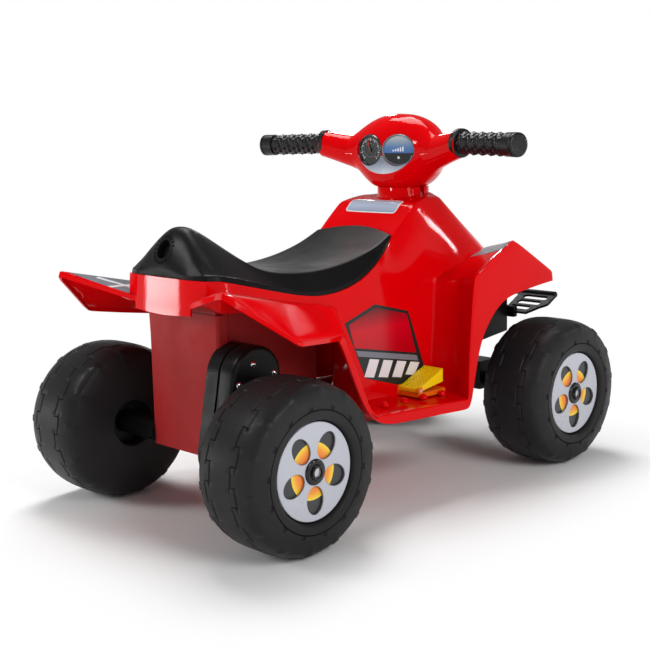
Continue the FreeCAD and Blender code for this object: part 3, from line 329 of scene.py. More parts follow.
def add(tree, kind, inputs, output=0, **settings):
    """A new node with its settings and inputs; gives one of its outputs."""
    node = tree.nodes.new("ShaderNode" + kind)
    for key, value in settings.items():
        setattr(node, key, value)
    feed(node, inputs)
    return node.outputs[output]


def on_piece(tree):
    return add(tree, "TexCoord", {}, "Object")


def height_in(tree, vector):
    return add(tree, "SeparateXYZ", {"Vector": vector}, "Z")


def noise(tree, scale, detail=2.0):
    return add(tree, "TexNoise", {"Scale": scale, "Detail": detail, "Vector": on_piece(tree)}, "Fac")


def ramp(tree, value, stops):
    """A colour ramp on a value; stops are (place, colour)."""
    output = add(tree, "ValToRGB", {"Fac": value}, "Color")
    elements = output.node.color_ramp.elements
    while len(elements) < len(stops):
        elements.new(0.5)
    for element, (place, colour) in zip(elements, stops):
        element.position = place
        element.color = (*colour, 1.0)
    return output


def span(tree, value, start, end, low=0.0, high=1.0, kind="LINEAR"):
    """Maps a value between start and end to a value between low and high."""
    inputs = {"Value": value, "From Min": start, "From Max": end, "To Min": low, "To Max": high}
    return add(tree, "MapRange", inputs, "Result", interpolation_type=kind)


def uneven(tree, scale, rough):
    """A roughness that varies a little over the piece."""
    return span(tree, noise(tree, scale), noise_low, noise_high, rough * 0.85, min(rough * 1.15, 1.0))


def plastic(name, colour, rough, grain=900, depth=0.02, vary=0.06, specular=0.3, metallic=0.0, wave=0.0):
    """Moulded plastic: slight mottling, uneven gloss, and a fine grain that can ride on a slow wave."""
    mottle_scale, gloss_scale, wave_scale = 9.0, 40.0, 18.0
    grain_reach, wave_reach, least_light = 0.0005, 0.002, 0.004
    material, tree, shader = shader_for(name)
    dark = [c * (1 - vary) for c in colour]
    light = [min(c * (1 + vary) + vary * least_light, 1.0) for c in colour]
    bump = {"Strength": depth, "Distance": grain_reach, "Height": noise(tree, grain)}
    if wave:
        slow = noise(tree, wave_scale, 1.0)
        bump["Normal"] = add(tree, "Bump", {"Strength": wave, "Distance": wave_reach, "Height": slow})
    feed(shader, {
        "Base Color": ramp(tree, noise(tree, mottle_scale, 3.0), ((noise_low, dark), (noise_high, light))),
        "Roughness": uneven(tree, gloss_scale, rough),
        "Normal": add(tree, "Bump", bump),
        "Metallic": metallic,
        "Specular IOR Level": specular,
    })
    return material


def painted_top_light(material, colour, start=0.72, end=0.93):
    """Paints a lighter colour where the surface faces up: painted light, standing in for the light that falls
    on its top.
    """
    tree = material.node_tree
    shader = tree.nodes["Principled BSDF"]
    below = shader.inputs["Base Color"].links[0].from_socket
    facing = height_in(tree, add(tree, "TexCoord", {}, "Normal"))
    share = span(tree, facing, start, end, kind="SMOOTHSTEP")
    blend = {"Factor": share, "A": below, "B": (*colour, 1.0)}
    feed(shader, {"Base Color": add(tree, "Mix", blend, "Result", data_type="RGBA")})


def graded(name, stops, low, high, rough, specular=0.3):
    """A colour that runs up the part, from low to high in millimetres: the printed grades of the prints, and
    on the right dial's face a painted reflection.
    """
    grain = 1200
    material, tree, shader = shader_for(name)
    share = span(tree, height_in(tree, on_piece(tree)), low * MM, high * MM)
    feed(shader, {
        "Base Color": ramp(tree, share, stops),
        "Roughness": uneven(tree, grain, rough),
        "Specular IOR Level": specular,
    })
    return material


# Materials
red_gloss = plastic(
    "red_gloss", (0.73, 0.0, 0.002), 0.09, grain=600, depth=0.006, vary=0.03, specular=0.09, wave=0.006,
)
red_matte = plastic("red_matte", (0.33, 0.016, 0.016), 0.5, grain=500, depth=0.06, vary=0.1, specular=0.14)
seat_black = plastic(
    "seat_black", (0.006, 0.006, 0.0065), 0.36, grain=1600, depth=0.2, vary=0.15, specular=0.1,
)
# Painted light: the seat is a touch lighter where it faces up, standing in for light falling on its top.
painted_top_light(seat_black, (0.0065, 0.0065, 0.0068))
trim_black = plastic(
    "trim_black", (0.006, 0.006, 0.0065), 0.35, grain=1200, depth=0.12, vary=0.15, specular=0.12,
)
tyre_black = plastic(
    "tyre_black", (0.0205, 0.02, 0.021), 0.42, grain=700, depth=0.15, vary=0.2, specular=0.12, wave=0.03,
)
grip_black = plastic("grip_black", (0.005, 0.005, 0.0055), 0.35, grain=1500, depth=0.15, vary=0.15)
silver = plastic("silver", (0.5, 0.51, 0.57), 0.3, grain=2200, depth=0.05, vary=0.03, specular=0.4)
rim_grey = plastic("rim_grey", (0.16, 0.16, 0.18), 0.3, grain=2200, depth=0.05, specular=0.4)
rim_dark = plastic("rim_dark", (0.02, 0.024, 0.026), 0.22, grain=2200, depth=0.03, specular=0.5)
gloss_black = plastic("gloss_black", (0.004, 0.004, 0.0045), 0.12, depth=0.01, vary=0.1, specular=0.4)
metal = {"grain": 1800, "metallic": 1.0, "specular": 0.5}
steel = plastic("steel", (0.55, 0.55, 0.57), 0.28, depth=0.08, vary=0.08, **metal)
chrome = plastic("chrome", (0.72, 0.73, 0.75), 0.12, vary=0.04, **metal)
nylon = plastic("nylon", (0.78, 0.76, 0.7), 0.45, depth=0.08, vary=0.04)
treadle = {"grain": 800, "depth": 0.04, "specular": 0.2}
pedal_yellow = plastic("pedal_yellow", (1.0, 0.72, 0.008), 0.25, vary=0.04, **treadle)
pedal_orange = plastic("pedal_orange", (0.85, 0.16, 0.005), 0.25, vary=0.05, **treadle)
battery_grey = plastic("battery_grey", (0.12, 0.12, 0.13), 0.5, depth=0.1, vary=0.1)
wire_black = plastic("wire_black", (0.015, 0.015, 0.015), 0.4, depth=0.1, vary=0.1)
sticker_grey = plastic("sticker_grey", (0.2, 0.215, 0.25), 0.2, depth=0.01, vary=0.1)
sticker_white = plastic("sticker_white", (0.82, 0.83, 0.85), 0.25, depth=0.01, vary=0.03)
sticker_dark = plastic("sticker_dark", (0.012, 0.02, 0.019), 0.25, depth=0.01, vary=0.1)
painted_vent_shade = plastic("painted_vent_shade", (0.1, 0.0, 0.002), 0.4, grain=700, depth=0.04, vary=0.1, specular=0.15)
needle_red = plastic("needle_red", (0.6, 0.02, 0.01), 0.3, vary=0.04)
print_red = graded("print_red", (
    (0.0, (0.5, 0.0, 0.006)), (0.55, (0.62, 0.0, 0.012)), (1.0, (0.09, 0.008, 0.01)),
), 170, 228, 0.2)
plate_blue = graded("plate_blue", (
    (0.0, (0.3, 0.36, 0.47)), (0.5, (0.42, 0.48, 0.62)), (1.0, (0.34, 0.38, 0.48)),
), 337, 350, 0.25)
panel_blue = graded("panel_blue", (
    (0.0, (0.62, 0.66, 0.74)), (0.5, (0.36, 0.42, 0.52)), (1.0, (0.2, 0.24, 0.31)),
), 383, 400, 0.25)
# The right dial's face: blue, paling to grey toward its top as a painted reflection on its glass.
display_blue_painted_reflection = graded("display_blue_painted_reflection", (
    (0.0, (0.02, 0.12, 0.42)), (0.4, (0.08, 0.2, 0.42)), (0.7, (0.28, 0.35, 0.43)), (1.0, (0.5, 0.55, 0.6)),
), 408, 433, 0.12, specular=0.5)

slot_looks = dict(
    body_red=red_gloss, tub_red=red_matte, seat_black=seat_black, steel=steel, plate_grey=sticker_grey,
    nylon_white=nylon, trim_black=trim_black, panel_silver=silver, gauge_black=gloss_black,
    gauge_blue=gloss_black, grip_black=grip_black, motor_steel=steel, battery_grey=battery_grey,
    strap_black=wire_black, wire_black=wire_black, pedal_yellow=pedal_yellow, pedal_orange=pedal_orange,
    tyre_black=tyre_black, hubcap_silver=silver, cap_black=gloss_black,
)
for part in frame["record"]["subparts"]:
    node = frame["nodes"][part["node"]]
    node.data.materials.clear()
    node.data.materials.append(slot_looks[part["material_slot"]])


# Body shell
def board_row(x, z):
    """A row of points across a footboard and down its edge."""
    edge_drop = 13
    return [(x, 80, z), (x, 115, z), (x, 150, z), (x, 151, z - edge_drop)]


def body_cage():
    """The right half of the body as a cage of quads, with its ridge line and wing tips."""
    # The crease line from the rear band along the seat to the tank's shoulder, and the side below it
    rear_side = [
        [(-274, 0, 287), (-274.5, 0, 268), (-275, 0, 252)],
        [(-273.6, 34, 286.8), (-274.1, 34, 268), (-274.6, 34, 253.5)],
        [(-272, 50, 286.4), (-272.4, 50, 268), (-272.8, 50, 262)],
        [(-266, 69, 286.2), (-267, 70, 268), (-267, 70, 261)],
        [(-250, 77.5, 285.4), (-252, 79, 268), (-251, 78.5, 251)],
        [(-190, 79, 270), (-190, 80, 260), (-190, 80, 251)],
        [(-134, 80, 255.5), (-134, 80, 251), (-135, 80, 245)],
        [(-87, 80, 250.5), (-84, 80, 244), (-79, 79, 237)],
    ]
    wall_side = [
        rear_side[-1] + [(-84, 80, 176), (-90, 80, 117)],
        [(-36, 80, 260.5), (-38, 80, 249), (-38, 80, 236), (-38, 80, 176), (-38, 80, 114.5)],
        [(2, 78.5, 284), (-2, 79.5, 265), (-3, 80, 240), (-3, 80, 176), (-3, 80, 112.5)],
        [(36, 65, 310.5), (31, 73, 287), (29, 79, 248), (29, 80, 176), (29, 80, 111)],
        [(58, 66, 330), (56, 73, 297), (54, 79, 251), (54, 80, 178), (54, 80, 110)],
        [(78, 65, 347), (78, 73, 312), (78, 79.5, 252), (75, 80, 180), (74, 80, 109)],
        [(112, 57, 356), (108, 71, 316), (98, 80.5, 250), (92, 81, 180), (87, 81, 112)],
    ]
    front_side = [
        wall_side[-1][:3],
        [(147, 50, 351), (150, 66, 312), (155, 79.5, 268)],
        [(197, 49, 310), (203, 59, 293), (209, 69, 267)],
        [(249, 46, 274), (250, 55, 264), (250, 64, 252)],
        [(288, 40, 243), (289, 48, 238), (286, 56, 232)],
    ]
    top = [
        [(50, 0, 316), (46, 34, 314), (36, 65, 310.5)],
        [(66, 0, 336), (64, 36, 334), (58, 66, 330)],
        [(77, 0, 348.5), (77, 36, 348.5), (78, 65, 347)],
        [(113, 0, 353.5), (113, 34, 354.5), (112, 57, 356)],
        [(150, 0, 359), (149, 28, 359.5), (147, 50, 351)],
        [(200, 0, 328), (200, 27, 327), (197, 49, 310)],
        [(250, 0, 287), (250, 26, 286), (249, 46, 274)],
        [(290, 0, 247), (290, 24, 246), (288, 40, 243)],
        [(290, 0, 232), (290, 28, 232), (286, 56, 232)],
    ]
    guard = [
        [(87, 81, 112), (95, 118, 110), (80, 150, 107), (86, 151, 97)],
        [(92, 81, 180), (103, 118, 181), (83, 150, 180), (99, 151, 168)],
        [(98, 80.5, 250), (106, 116, 254), (92, 150, 259), (119, 151, 199)],
        [(155, 79.5, 268), (150, 114, 276), (135, 150, 281), (148, 151, 225)],
        [(208, 76, 283), (196, 113, 291), (173.5, 150, 300), (188, 151, 231)],
        [(272, 71, 253), (268, 108, 252), (259, 150, 250), (240, 151, 236)],
        [(279, 70, 236), (274, 108, 236), (261, 150, 237), (261, 150, 237)],
    ]
    floor = [
        [(-90, 80, 117), (-91, 115, 117), (-92, 150, 117), (-96, 151, 105)],
        board_row(-38, 114.5), board_row(-3, 112.5), board_row(29, 111),
        [(54, 80, 110), (56, 116, 110), (56, 150, 109), (58, 151, 96)],
        [(74, 80, 109), (78, 117, 109), (70, 150, 108), (76, 151, 95)],
        guard[0],
    ]
    back_wall = [
        [(-79, 79, 237), (-108, 115, 228), (-137, 150, 219.5), (-146, 151, 215)],
        [(-84, 80, 176), (-100, 115, 172), (-115, 150, 168), (-123, 151, 162)],
        floor[0],
    ]
    wing = [
        [(-251, 78.5, 251), (-311, 149, 288.5), (-244, 192.5, 232)],
        [(-190, 80, 251), (-190, 112, 261), (-205, 176, 227.5)],
        [(-135, 80, 245), (-135, 95, 249), (-165, 162, 223)],
        [(-79, 79, 237), (-79, 79, 237), (-108, 115, 228)],
    ]
    wing_end = [[(-108, 115, 228), (-165, 162, 223), (-137, 150, 219.5)]]
    lip = [
        [(-272.8, 50, 262), (-273, 50, 255.5)],
        [(-311, 149, 288.5), (-313, 150, 281)],
        [(-244, 192.5, 232), (-245, 193, 227)],
        [(-205, 176, 227.5), (-206, 178, 222)],
        [(-165, 162, 223), (-166, 163, 217)],
        [(-137, 150, 219.5), (-146, 151, 215)],
    ]
    band_foot = [
        [(-275, 0, 252), (-275.4, 0, 245)],
        [(-274.6, 34, 253.5), (-275, 34, 246.5)],
        [(-272.8, 50, 262), (-273.2, 50, 247.5)],
    ]
    wing_root = [
        ((-272.8, 50, 262), (-267, 70, 261), (-311, 149, 288.5)),
        ((-267, 70, 261), (-251, 78.5, 251), (-311, 149, 288.5)),
    ]
    # The groove between the tank's nose and the mudguard
    groove = [
        ((155, 79.5, 268), (209, 69, 267), (208, 76, 283)),
        ((209, 69, 267), (250, 64, 252), (272, 71, 253), (208, 76, 283)),
        ((250, 64, 252), (286, 56, 232), (279, 70, 236), (272, 71, 253)),
    ]
    faces = wing_end + wing_root + groove
    for rows in (rear_side, wall_side, front_side, top, guard, floor, back_wall, wing, lip, band_foot):
        faces += grid(rows)
    tank_ridge = [row[0] for row in front_side]
    wing_tips = lip[1] + lip[2]
    return faces, tank_ridge, wing_tips


def make_body():
    wall = 3.0
    faces, tank_ridge, wing_tips = body_cage()
    body = from_faces("body_shell_skin", both_sides(faces), up)
    crease(body, 12, 50, 0.85, tank_ridge, 0.72, wing_tips)
    modify(body, "SUBSURF", levels=3, render_levels=3)
    modify(body, "SOLIDIFY", thickness=wall * MM, offset=-1.0)
    dress(body, red_gloss, "chassis", ["body_shell"], sharp=50)
    return tree_of(body)


body_tree = make_body()


# Prints on the body
under_print, over_print = 0.3, 0.5
print_wall = 80.0


def lay(name, side, outline, toward, lift, look, longest=7.0):
    """A print on one side of the body; toward is given as (x, out, z)."""
    aim, = mirrored([toward], side)
    film(name, mirrored(outline, side), aim, body_tree, lift, look, longest=longest)


def print_line(x, drop):
    """A point a given drop below the side print's slanted base line."""
    return x, 174 - 0.2 * x - drop


def side_print(side):
    """A plain print of bands and slanted bars on the body's side, below the seat."""
    line = print_line
    edge = ((-66, 215), (-13, 232), (48, 216), (78, 139), (33, 123), (-32, 143))
    field = ((-59, 212.5), (-12.5, 228), (45, 213), line(62, 1), line(-50, 1))
    band = (line(-48, 4), line(63, 4), line(66, 11), line(-44, 11))
    shapes = [
        ("edge", edge, under_print, sticker_dark), ("field", field, over_print, print_red),
        ("band", band, over_print, sticker_grey),
    ]
    first_bar, bar_pitch, bar_width, bar_slant, bar_top = -34, 25, 17, 10, 13
    for i, foot in enumerate((36, 35, 34, 30)):
        x = first_bar + bar_pitch * i
        top = x + bar_slant
        bar = (line(top, bar_top), line(top + bar_width, bar_top), line(x + bar_width, foot), line(x, foot))
        shapes.append((f"bar_{i}", bar, over_print, sticker_white))
    for name, points, lift, look in shapes:
        outline = [(x, print_wall, z) for x, z in points]
        lay(f"side_print_{side}_{name}", side, outline, (0, 1, 0), lift, look)


def wing_print(side):
    """Plain fields on the rear wing and front guard, and beside the tank three dark films of painted shade
    where its vents are.
    """
    patch = ((-262, 95, 258), (-302, 144, 281), (-222, 121, 265), (-212, 90, 255))
    lay(f"wing_print_{side}", side, patch, up, under_print, sticker_grey)
    stripes = (
        ((-268, 106, 264), (-271, 109, 264), (-219, 112, 262), (-219, 108, 262)),
        ((-226, 96, 257), (-230, 94, 257), (-273, 128, 272), (-268, 130, 272)),
    )
    for i, stripe in enumerate(stripes):
        lay(f"wing_stripe_{side}_{i}", side, stripe, up, over_print, sticker_white)
    guard = ((152, 146, 290), (172, 147, 299), (203, 84, 284), (168, 84, 272))
    lay(f"guard_print_{side}", side, guard, (-0.4, 0, 0.9), under_print, sticker_grey)
    # The vents are not cut: each is a dark red film, painted shade standing in for the recess of a vent.
    vent = ring_points(5.0, 16, squash=0.45)
    for i, (x, out, z) in enumerate(((163, 41, 345), (176, 40, 338), (189, 39, 329))):
        outline = [(x + u * 0.85, out + v, z - u * 0.5) for u, v in vent]
        lay(f"tank_vent_shade_{side}_{i}", side, outline, (0.5, 0, 0.85), 0.2, painted_vent_shade, 2.0)


def rounded(half_width, height, radius, inset):
    """An outline of (across, up) points of a plate with rounded corners, standing on the line up = 0."""
    points = []
    for i, (sx, sy) in enumerate(((1, 1), (-1, 1), (-1, -1), (1, -1))):
        corner = (sx * (half_width - radius), height / 2 + sy * (height / 2 - radius))
        points += arc(corner, radius - inset, i * quarter_turn, quarter_turn, 4)
    return points


def dash_plate():
    """A bare plate with a pale border on the panel behind the handlebar."""
    low, high = Vector((64, 0, 336)), Vector((85, 0, 349.5))
    half_width, corner, border = 44.0, 5.0, 1.6
    facing = (-0.65, 0, 0.76)
    tall = (high - low).length
    for name, inset, lift, look, hides in (
        ("border", 0.0, 0.4, sticker_white, ["dash_plate"]), ("field", border, 0.6, plate_blue, []),
    ):
        outline = []
        for u, v in rounded(half_width, tall, corner, inset):
            place = low.lerp(high, v / tall)
            outline.append((place.x, u, place.z))
        film(
            f"dash_plate_{name}", outline, facing, body_tree, lift, look,
            longest=5.0, replaces=hides,
        )


for print_side in signs:
    side_print(print_side)
    wing_print(print_side)
dash_plate()


# Seat
def make_seat():
    """A saddle with a crowned pad, a skirt below its edge line, and a round recess in its rear."""
    # Each station: x, middle height, the pad's edge (x, out, z), then the skirt's foot (x, out, z)
    stations = [
        (-274, 296, (-271, 36, 295.5), (-271.5, 49, 286)),
        (-269, 315, (-262, 38, 311), (-264, 68, 285.5)),
        (-259, 334.5, (-252, 25, 331), (-252, 75.5, 285)),
        (-246, 342.5, (-243.5, 13, 341), (-242, 77, 283)),
        (-230, 339, (-230, 21, 331.5), (-228, 77.2, 280)),
        (-213, 327, (-213, 31, 318), (-212, 77.4, 275.5)),
        (-194, 311, (-194, 43, 302), (-193, 77.5, 270)),
        (-175, 296, (-175, 59, 287), (-174, 77.6, 265)),
        (-143, 285.5, (-143, 67, 281.5), (-142, 77.6, 256.5)),
        (-100, 282.5, (-100, 67, 279.5), (-100, 77.6, 250)),
        (-60, 285, (-60, 66.5, 283), (-60, 77.6, 253)),
        (-23, 293, (-23, 66, 290.5), (-23, 77, 266.5)),
        (6, 302.5, (6, 65.5, 299.5), (6, 75.5, 286.5)),
        (30, 312, (24, 64.5, 308), (26, 69, 302)),
        (49, 321, (33, 63.5, 312.5), (36, 63, 309)),
    ]
    rim_tall, rim_share, rim_lean = 6.5, 0.45, 0.35
    ledge, ledge_front, ledge_run, least_ledge = 1.8, -120, 60, 0.12
    crown_place, crown_rise = 0.55, 0.2
    rows = []
    for x, top, edge, foot in stations:
        lie, base = Vector(edge), Vector(foot)
        tall = lie.z - base.z
        rise = min(rim_tall, tall * rim_share)
        rim = base.lerp(lie, rise / tall * rim_lean)
        rim.z = base.z + rise
        step = ledge * min(max((ledge_front - x) / ledge_run, least_ledge), 1.0)
        shelf = rim + Vector((0, -step, 0.5))
        side = shelf.lerp(lie, 0.5)
        crown = Vector((x, 0, top)).lerp(lie, crown_place)
        crown.z += (top - lie.z) * crown_rise
        rows.append([(x, 0, top)] + [tuple(point) for point in (crown, lie, side, shelf, rim, base)])
    under = [[row[-1], (row[-1][0], 0, row[-1][2])] for row in rows]
    ends = [rows[i] + [under[i][1]] for i in (0, -1)]
    seat = from_faces("seat_saddle", both_sides(grid(rows) + grid(under) + ends))
    round_rows, round_points = 4, 4
    crease(seat, 14, 45, 0.85, [point for row in rows[:round_rows] for point in row[:round_points]], 0.0)
    modify(seat, "SUBSURF", levels=3, render_levels=3)
    recess_middle = (-265.5, 4, 317)
    recess = [(0.01, -9), (10, -9), (11.5, 2), (12.5, 12), (0.01, 12)]
    facing = Vector((-0.907, 0, 0.42)).normalized()
    turn = facing_along(facing, "Y", "Z")
    stand = at(*recess_middle) @ turn
    hole = from_faces("seat_hole", revolve(recess, 48))
    hole.data.transform(stand)
    cut(seat, hole)
    dress(seat, seat_black, "chassis", ["seat"], sharp=45)
    tree = tree_of(seat)
    nub_count, nub_circle, reach = 20, 15.5, 0.02
    nub = box_faces((-1.6, -0.5, -0.8), (1.6, 0.7, 0.8))
    faces = []
    for i in range(nub_count):
        spin = spun(2 * pi * i / nub_count, "Y")
        place = stand @ spin @ Vector((nub_circle * MM, reach, 0))
        hit = tree.ray_cast(place, -facing, 2.5 * reach)[0]
        faces += placed(nub, Matrix.Translation(hit / MM) @ turn @ spin)
    dress(from_faces("seat_recess_nubs", faces), seat_black, "chassis")


make_seat()


# Wheels
tyre_radius = 95.0
tyre_width = 91.0
tyre_crown = 24.0
tread_periods = 14
groove_depth = 1.5
block_height = 1.05
line_half = 0.024
shoulder_bands = ((22, 30), (61, 69))
cap_radius = 52.0
cap_place = 84.8
window_shade_rims_place = 84.9
print_place = 82.9
print_radius = 50.0
cap_bore = 11.0
cap_dish = [
    (5.4, 91.6), (6.6, 91.9), (7.8, 91.4), (8.6, 89.4), (8.8, 88.8), (10.2, 88.6), (12.6, 88.4),
    (13.6, 87.8), (14, 86.8), (14, 85.6), (5.2, 85.6),
]
window_count = 5
window_place = 30.8
window_half = 16.2
window_squash = 0.78


def tyre_profile():
    """Points of (radius, across, tag) from the inner hub recess over the tread to the outer rim."""
    recess = ((9, 20), (26.5, 20), (28, 18.5), (28, 1.5), (29.5, 0), (45, 0), (60, 0))
    points = [(r, w, "") for r, w in recess]
    half = tyre_width / 2
    tread = (
        2.2, 4.5, 8.5, 11, 17, 21, 22.4, 23.8, 28, 29.4, 30.8, 37, 45.5, 54, 60.2, 61.6, 63, 67.2, 68.6,
        70, 74, 80, 82.5, 86.5, 88.8,
    )
    tags = {22.4: "low", 29.4: "high", 61.6: "high", 68.6: "low"}
    tags.update({across: "mark" for across in (4.5, 8.5, 82.5, 86.5)})
    power = 3.2
    for across in tread:
        share = abs(across - half) / half
        drop = 1 - (1 - share ** power) ** (1 / power)
        points.append((tyre_radius - tyre_crown * drop, across, tags.get(across, "")))
    tags = {70: "nub", 67.5: "nub", 66: "ring"}
    for r, w in (
        (71.2, 90.9), (70, 91), (67.5, 91), (66.9, 91), (66, 91), (65.1, 91), (58.5, 90.6), (56.5, 89.8),
        (55.4, 88.2), (54.8, 85.4), (54.4, 82), (10, 82),
    ):
        points.append((r, w, tags.get(r, "")))
    return points


def tyre_turns():
    """Places round the tyre as (share of a turn, kind, half); the lines crowd where the relief steps."""
    steps = (
        (-line_half, "plain"), (0, "step"), (line_half, "plain"), (0.14, "plain"), (0.17, "mark"),
        (0.33, "mark"), (0.36, "plain"),
    )
    turns = []
    for i in range(2 * tread_periods):
        turns += [((i / 2 + shift) / tread_periods, kind, i % 2) for shift, kind in steps]
    return turns


def tyre_faces():
    profile = tyre_profile()
    last = len(profile) - 1
    normals = []
    for i in range(last + 1):
        before, after = profile[max(i - 1, 0)], profile[min(i + 1, last)]
        along = Vector((after[0] - before[0], after[1] - before[1])).normalized()
        normals.append((-along.y, along.x))
    rows = []
    turns = tyre_turns()
    for share, kind, half in turns + turns[:1]:
        angle = 2 * pi * share
        row = []
        for (r, w, tag), (nr, nw) in zip(profile, normals):
            on_step = kind == "step" and any(low < w < high for low, high in shoulder_bands)
            on_line = kind != "step" and tag == ("low" if half else "high")
            on_nub = kind == "mark" and tag == "nub" and not half
            sink = groove_depth if tag == "ring" or on_step or on_line or on_nub else 0.0
            if kind == "mark" and tag == "mark" and half:
                sink = -block_height
            radius = r + nr * sink
            row.append((radius * cos(angle), w + nw * sink, radius * sin(angle)))
        rows.append(row)
    return grid(rows)


def hubcap_print():
    """The printed disc behind the windows: orange to yellow round the hub, dark outside."""
    start, end, grain = 0.014, 0.05, 1500
    stops = (
        (0.0, (0.85, 0.16, 0.03)), (0.25, (0.9, 0.3, 0.03)), (0.42, (0.95, 0.6, 0.03)),
        (0.46, (0.95, 0.7, 0.05)), (0.47, (0.035, 0.035, 0.038)), (1.0, (0.03, 0.03, 0.033)),
    )
    material, tree, shader = shader_for("hubcap_print")
    flat = add(tree, "VectorMath", {0: on_piece(tree), 1: (1, 0, 1)}, operation="MULTIPLY")
    reach = add(tree, "VectorMath", {0: flat}, "Value", operation="LENGTH")
    feed(shader, {
        "Base Color": ramp(tree, span(tree, reach, start, end), stops),
        "Roughness": span(tree, noise(tree, grain), noise_low, noise_high, 0.3, 0.4),
    })
    return material


print_look = hubcap_print()


def make_wheel(end, side):
    x = wheel_x if end == "front" else -wheel_x
    facing = 0 if side == "left" else pi
    stand = at(x, signs[side] * tyre_inner_y, axle_z) @ spun(facing, "Z")

    def mount(piece, look, node="", sharp=40):
        """Puts a piece that is made outwards along Y from the tyre's inner face on its axle."""
        piece.matrix_world = stand
        replaces = [f"{node}_{end}_{side}"] if node else []
        dress(piece, look, f"wheel_{end}_{side}", replaces, sharp)

    def plate(name, outlines, depth, bevel, across):
        return stood_up(outline_plate(f"hubcap_{end}_{side}_{name}", outlines, depth, bevel), across)

    mount(from_faces(f"tyre_{end}_{side}_skin", tyre_faces()), tyre_black, "tyre", 38)
    disc, rims = [ring_points(cap_radius, 96), ring_points(cap_bore, 40)], []
    for i in range(window_count):
        turn = 2 * pi * i / window_count - quarter_turn
        centre = (window_place * cos(turn), window_place * sin(turn))
        # Grey rings round the windows, darker than the silver disc: painted shade along the windows' bevelled
        # edges.
        for target, grow, plump in ((disc, 0.0, 0.0), (rims, 0.9, 0.01), (rims, -0.6, -0.01)):
            target.append(ring_points(window_half + grow, 40, centre, window_squash + plump, turn))
    mount(plate("disc", disc, 1.4, 0.8, cap_place), silver, "hubcap")
    mount(plate("rims", rims, 1.0, 0.5, window_shade_rims_place), rim_grey)
    backing = plate("print", [ring_points(print_radius, 64)], 0.6, 0.0, print_place)
    mount(backing, print_look, sharp=None)
    dish = from_faces(f"axle_cap_{end}_{side}_dish", revolve(cap_dish, 48))
    mount(dish, gloss_black, "axle_cap")


for wheel_end in ("front", "rear"):
    for wheel_side in signs:
        make_wheel(wheel_end, wheel_side)


# Handlebar
def spline(points, steps):
    """Points along a smooth curve through tuples of numbers."""
    out = []
    last = len(points) - 1
    for i in range(last):
        p0, p1, p2, p3 = (points[max(min(k, last), 0)] for k in (i - 1, i, i + 1, i + 2))
        for s in range(steps):
            t = s / steps
            for_p1 = 2 - 5 * t ** 2 + 3 * t ** 3
            for_p2 = t + 4 * t ** 2 - 3 * t ** 3
            for_p0, for_p3 = -t + 2 * t ** 2 - t ** 3, t ** 3 - t ** 2
            weights = (for_p0, for_p1, for_p2, for_p3)
            out.append(tuple(0.5 * sum(w * n for w, n in zip(weights, near)) for near in zip(p0, p1, p2, p3)))
    return out + [tuple(points[-1])]


def pod_sections():
    """Sections of (y, centre x, centre z, half depth, half height) over the pod and one arm."""
    pod = [
        (0, 127.5, 413.5, 38.0, 47.0),
        (22, 127.5, 413.5, 36.6, 45.2),
        (40, 127.2, 413.4, 33.0, 40.2),
        (54, 125.4, 413.0, 28.6, 33.6),
        (65, 121.4, 412.0, 24.6, 26.6),
        (73, 118.4, 411.4, 22.0, 22.0),
    ]
    arm = [
        (73, 118.4, 411.4, 22.0, 22.0),
        (88, 113.2, 414.6, 19.4, 20.0),
        (104, 109.0, 418.4, 18.0, 18.6),
        (119, 105.5, 421.9, 17.4, 17.6),
    ]
    return spline(pod, 5)[:-1] + spline(arm, 4)


dial_x, dial_y, dial_z = 97.0, 24.5, 414.0
dial_half_width = 24.8
dial_squash = 0.82
dial_toe = radians(11)


def dial_stand(side, lift=0.0):
    """A dial's own frame on the pod's rear: X to the rider's right, Y up, Z towards the rider."""
    sign = signs[side]
    axes = Matrix(((0, 0, -1), (-1, 0, 0), (0, 1, 0))).to_4x4()
    return at(dial_x, sign * dial_y, dial_z) @ spun(-sign * dial_toe, "Z") @ axes @ at(0, 0, lift)


def dial_plate(name, side, outlines, depth, lift, bevel=0.0):
    """A flat plate at a height over a dial."""
    piece = outline_plate(name, outlines, depth, bevel)
    piece.data.transform(dial_stand(side, lift))
    return piece


def oval(half_width, count=72, start=0.0, sweep=360.0):
    """Points round a dial, or along an arc of it, in the dial's own frame."""
    points = []
    drop = dial_half_width * (1 - dial_squash)
    for i in range(count if sweep == 360.0 else count + 1):
        turn = radians(start + sweep * i / count)
        points.append((half_width * cos(turn), (half_width - drop) * sin(turn)))
    return points


def strip_outline(start, end, width):
    """A straight strip between two points."""
    start, end = Vector(start), Vector(end)
    along = (end - start).normalized()
    aside = Vector((-along.y, along.x)) * width / 2
    return [tuple(p) for p in (start - aside, end - aside, end + aside, start + aside)]


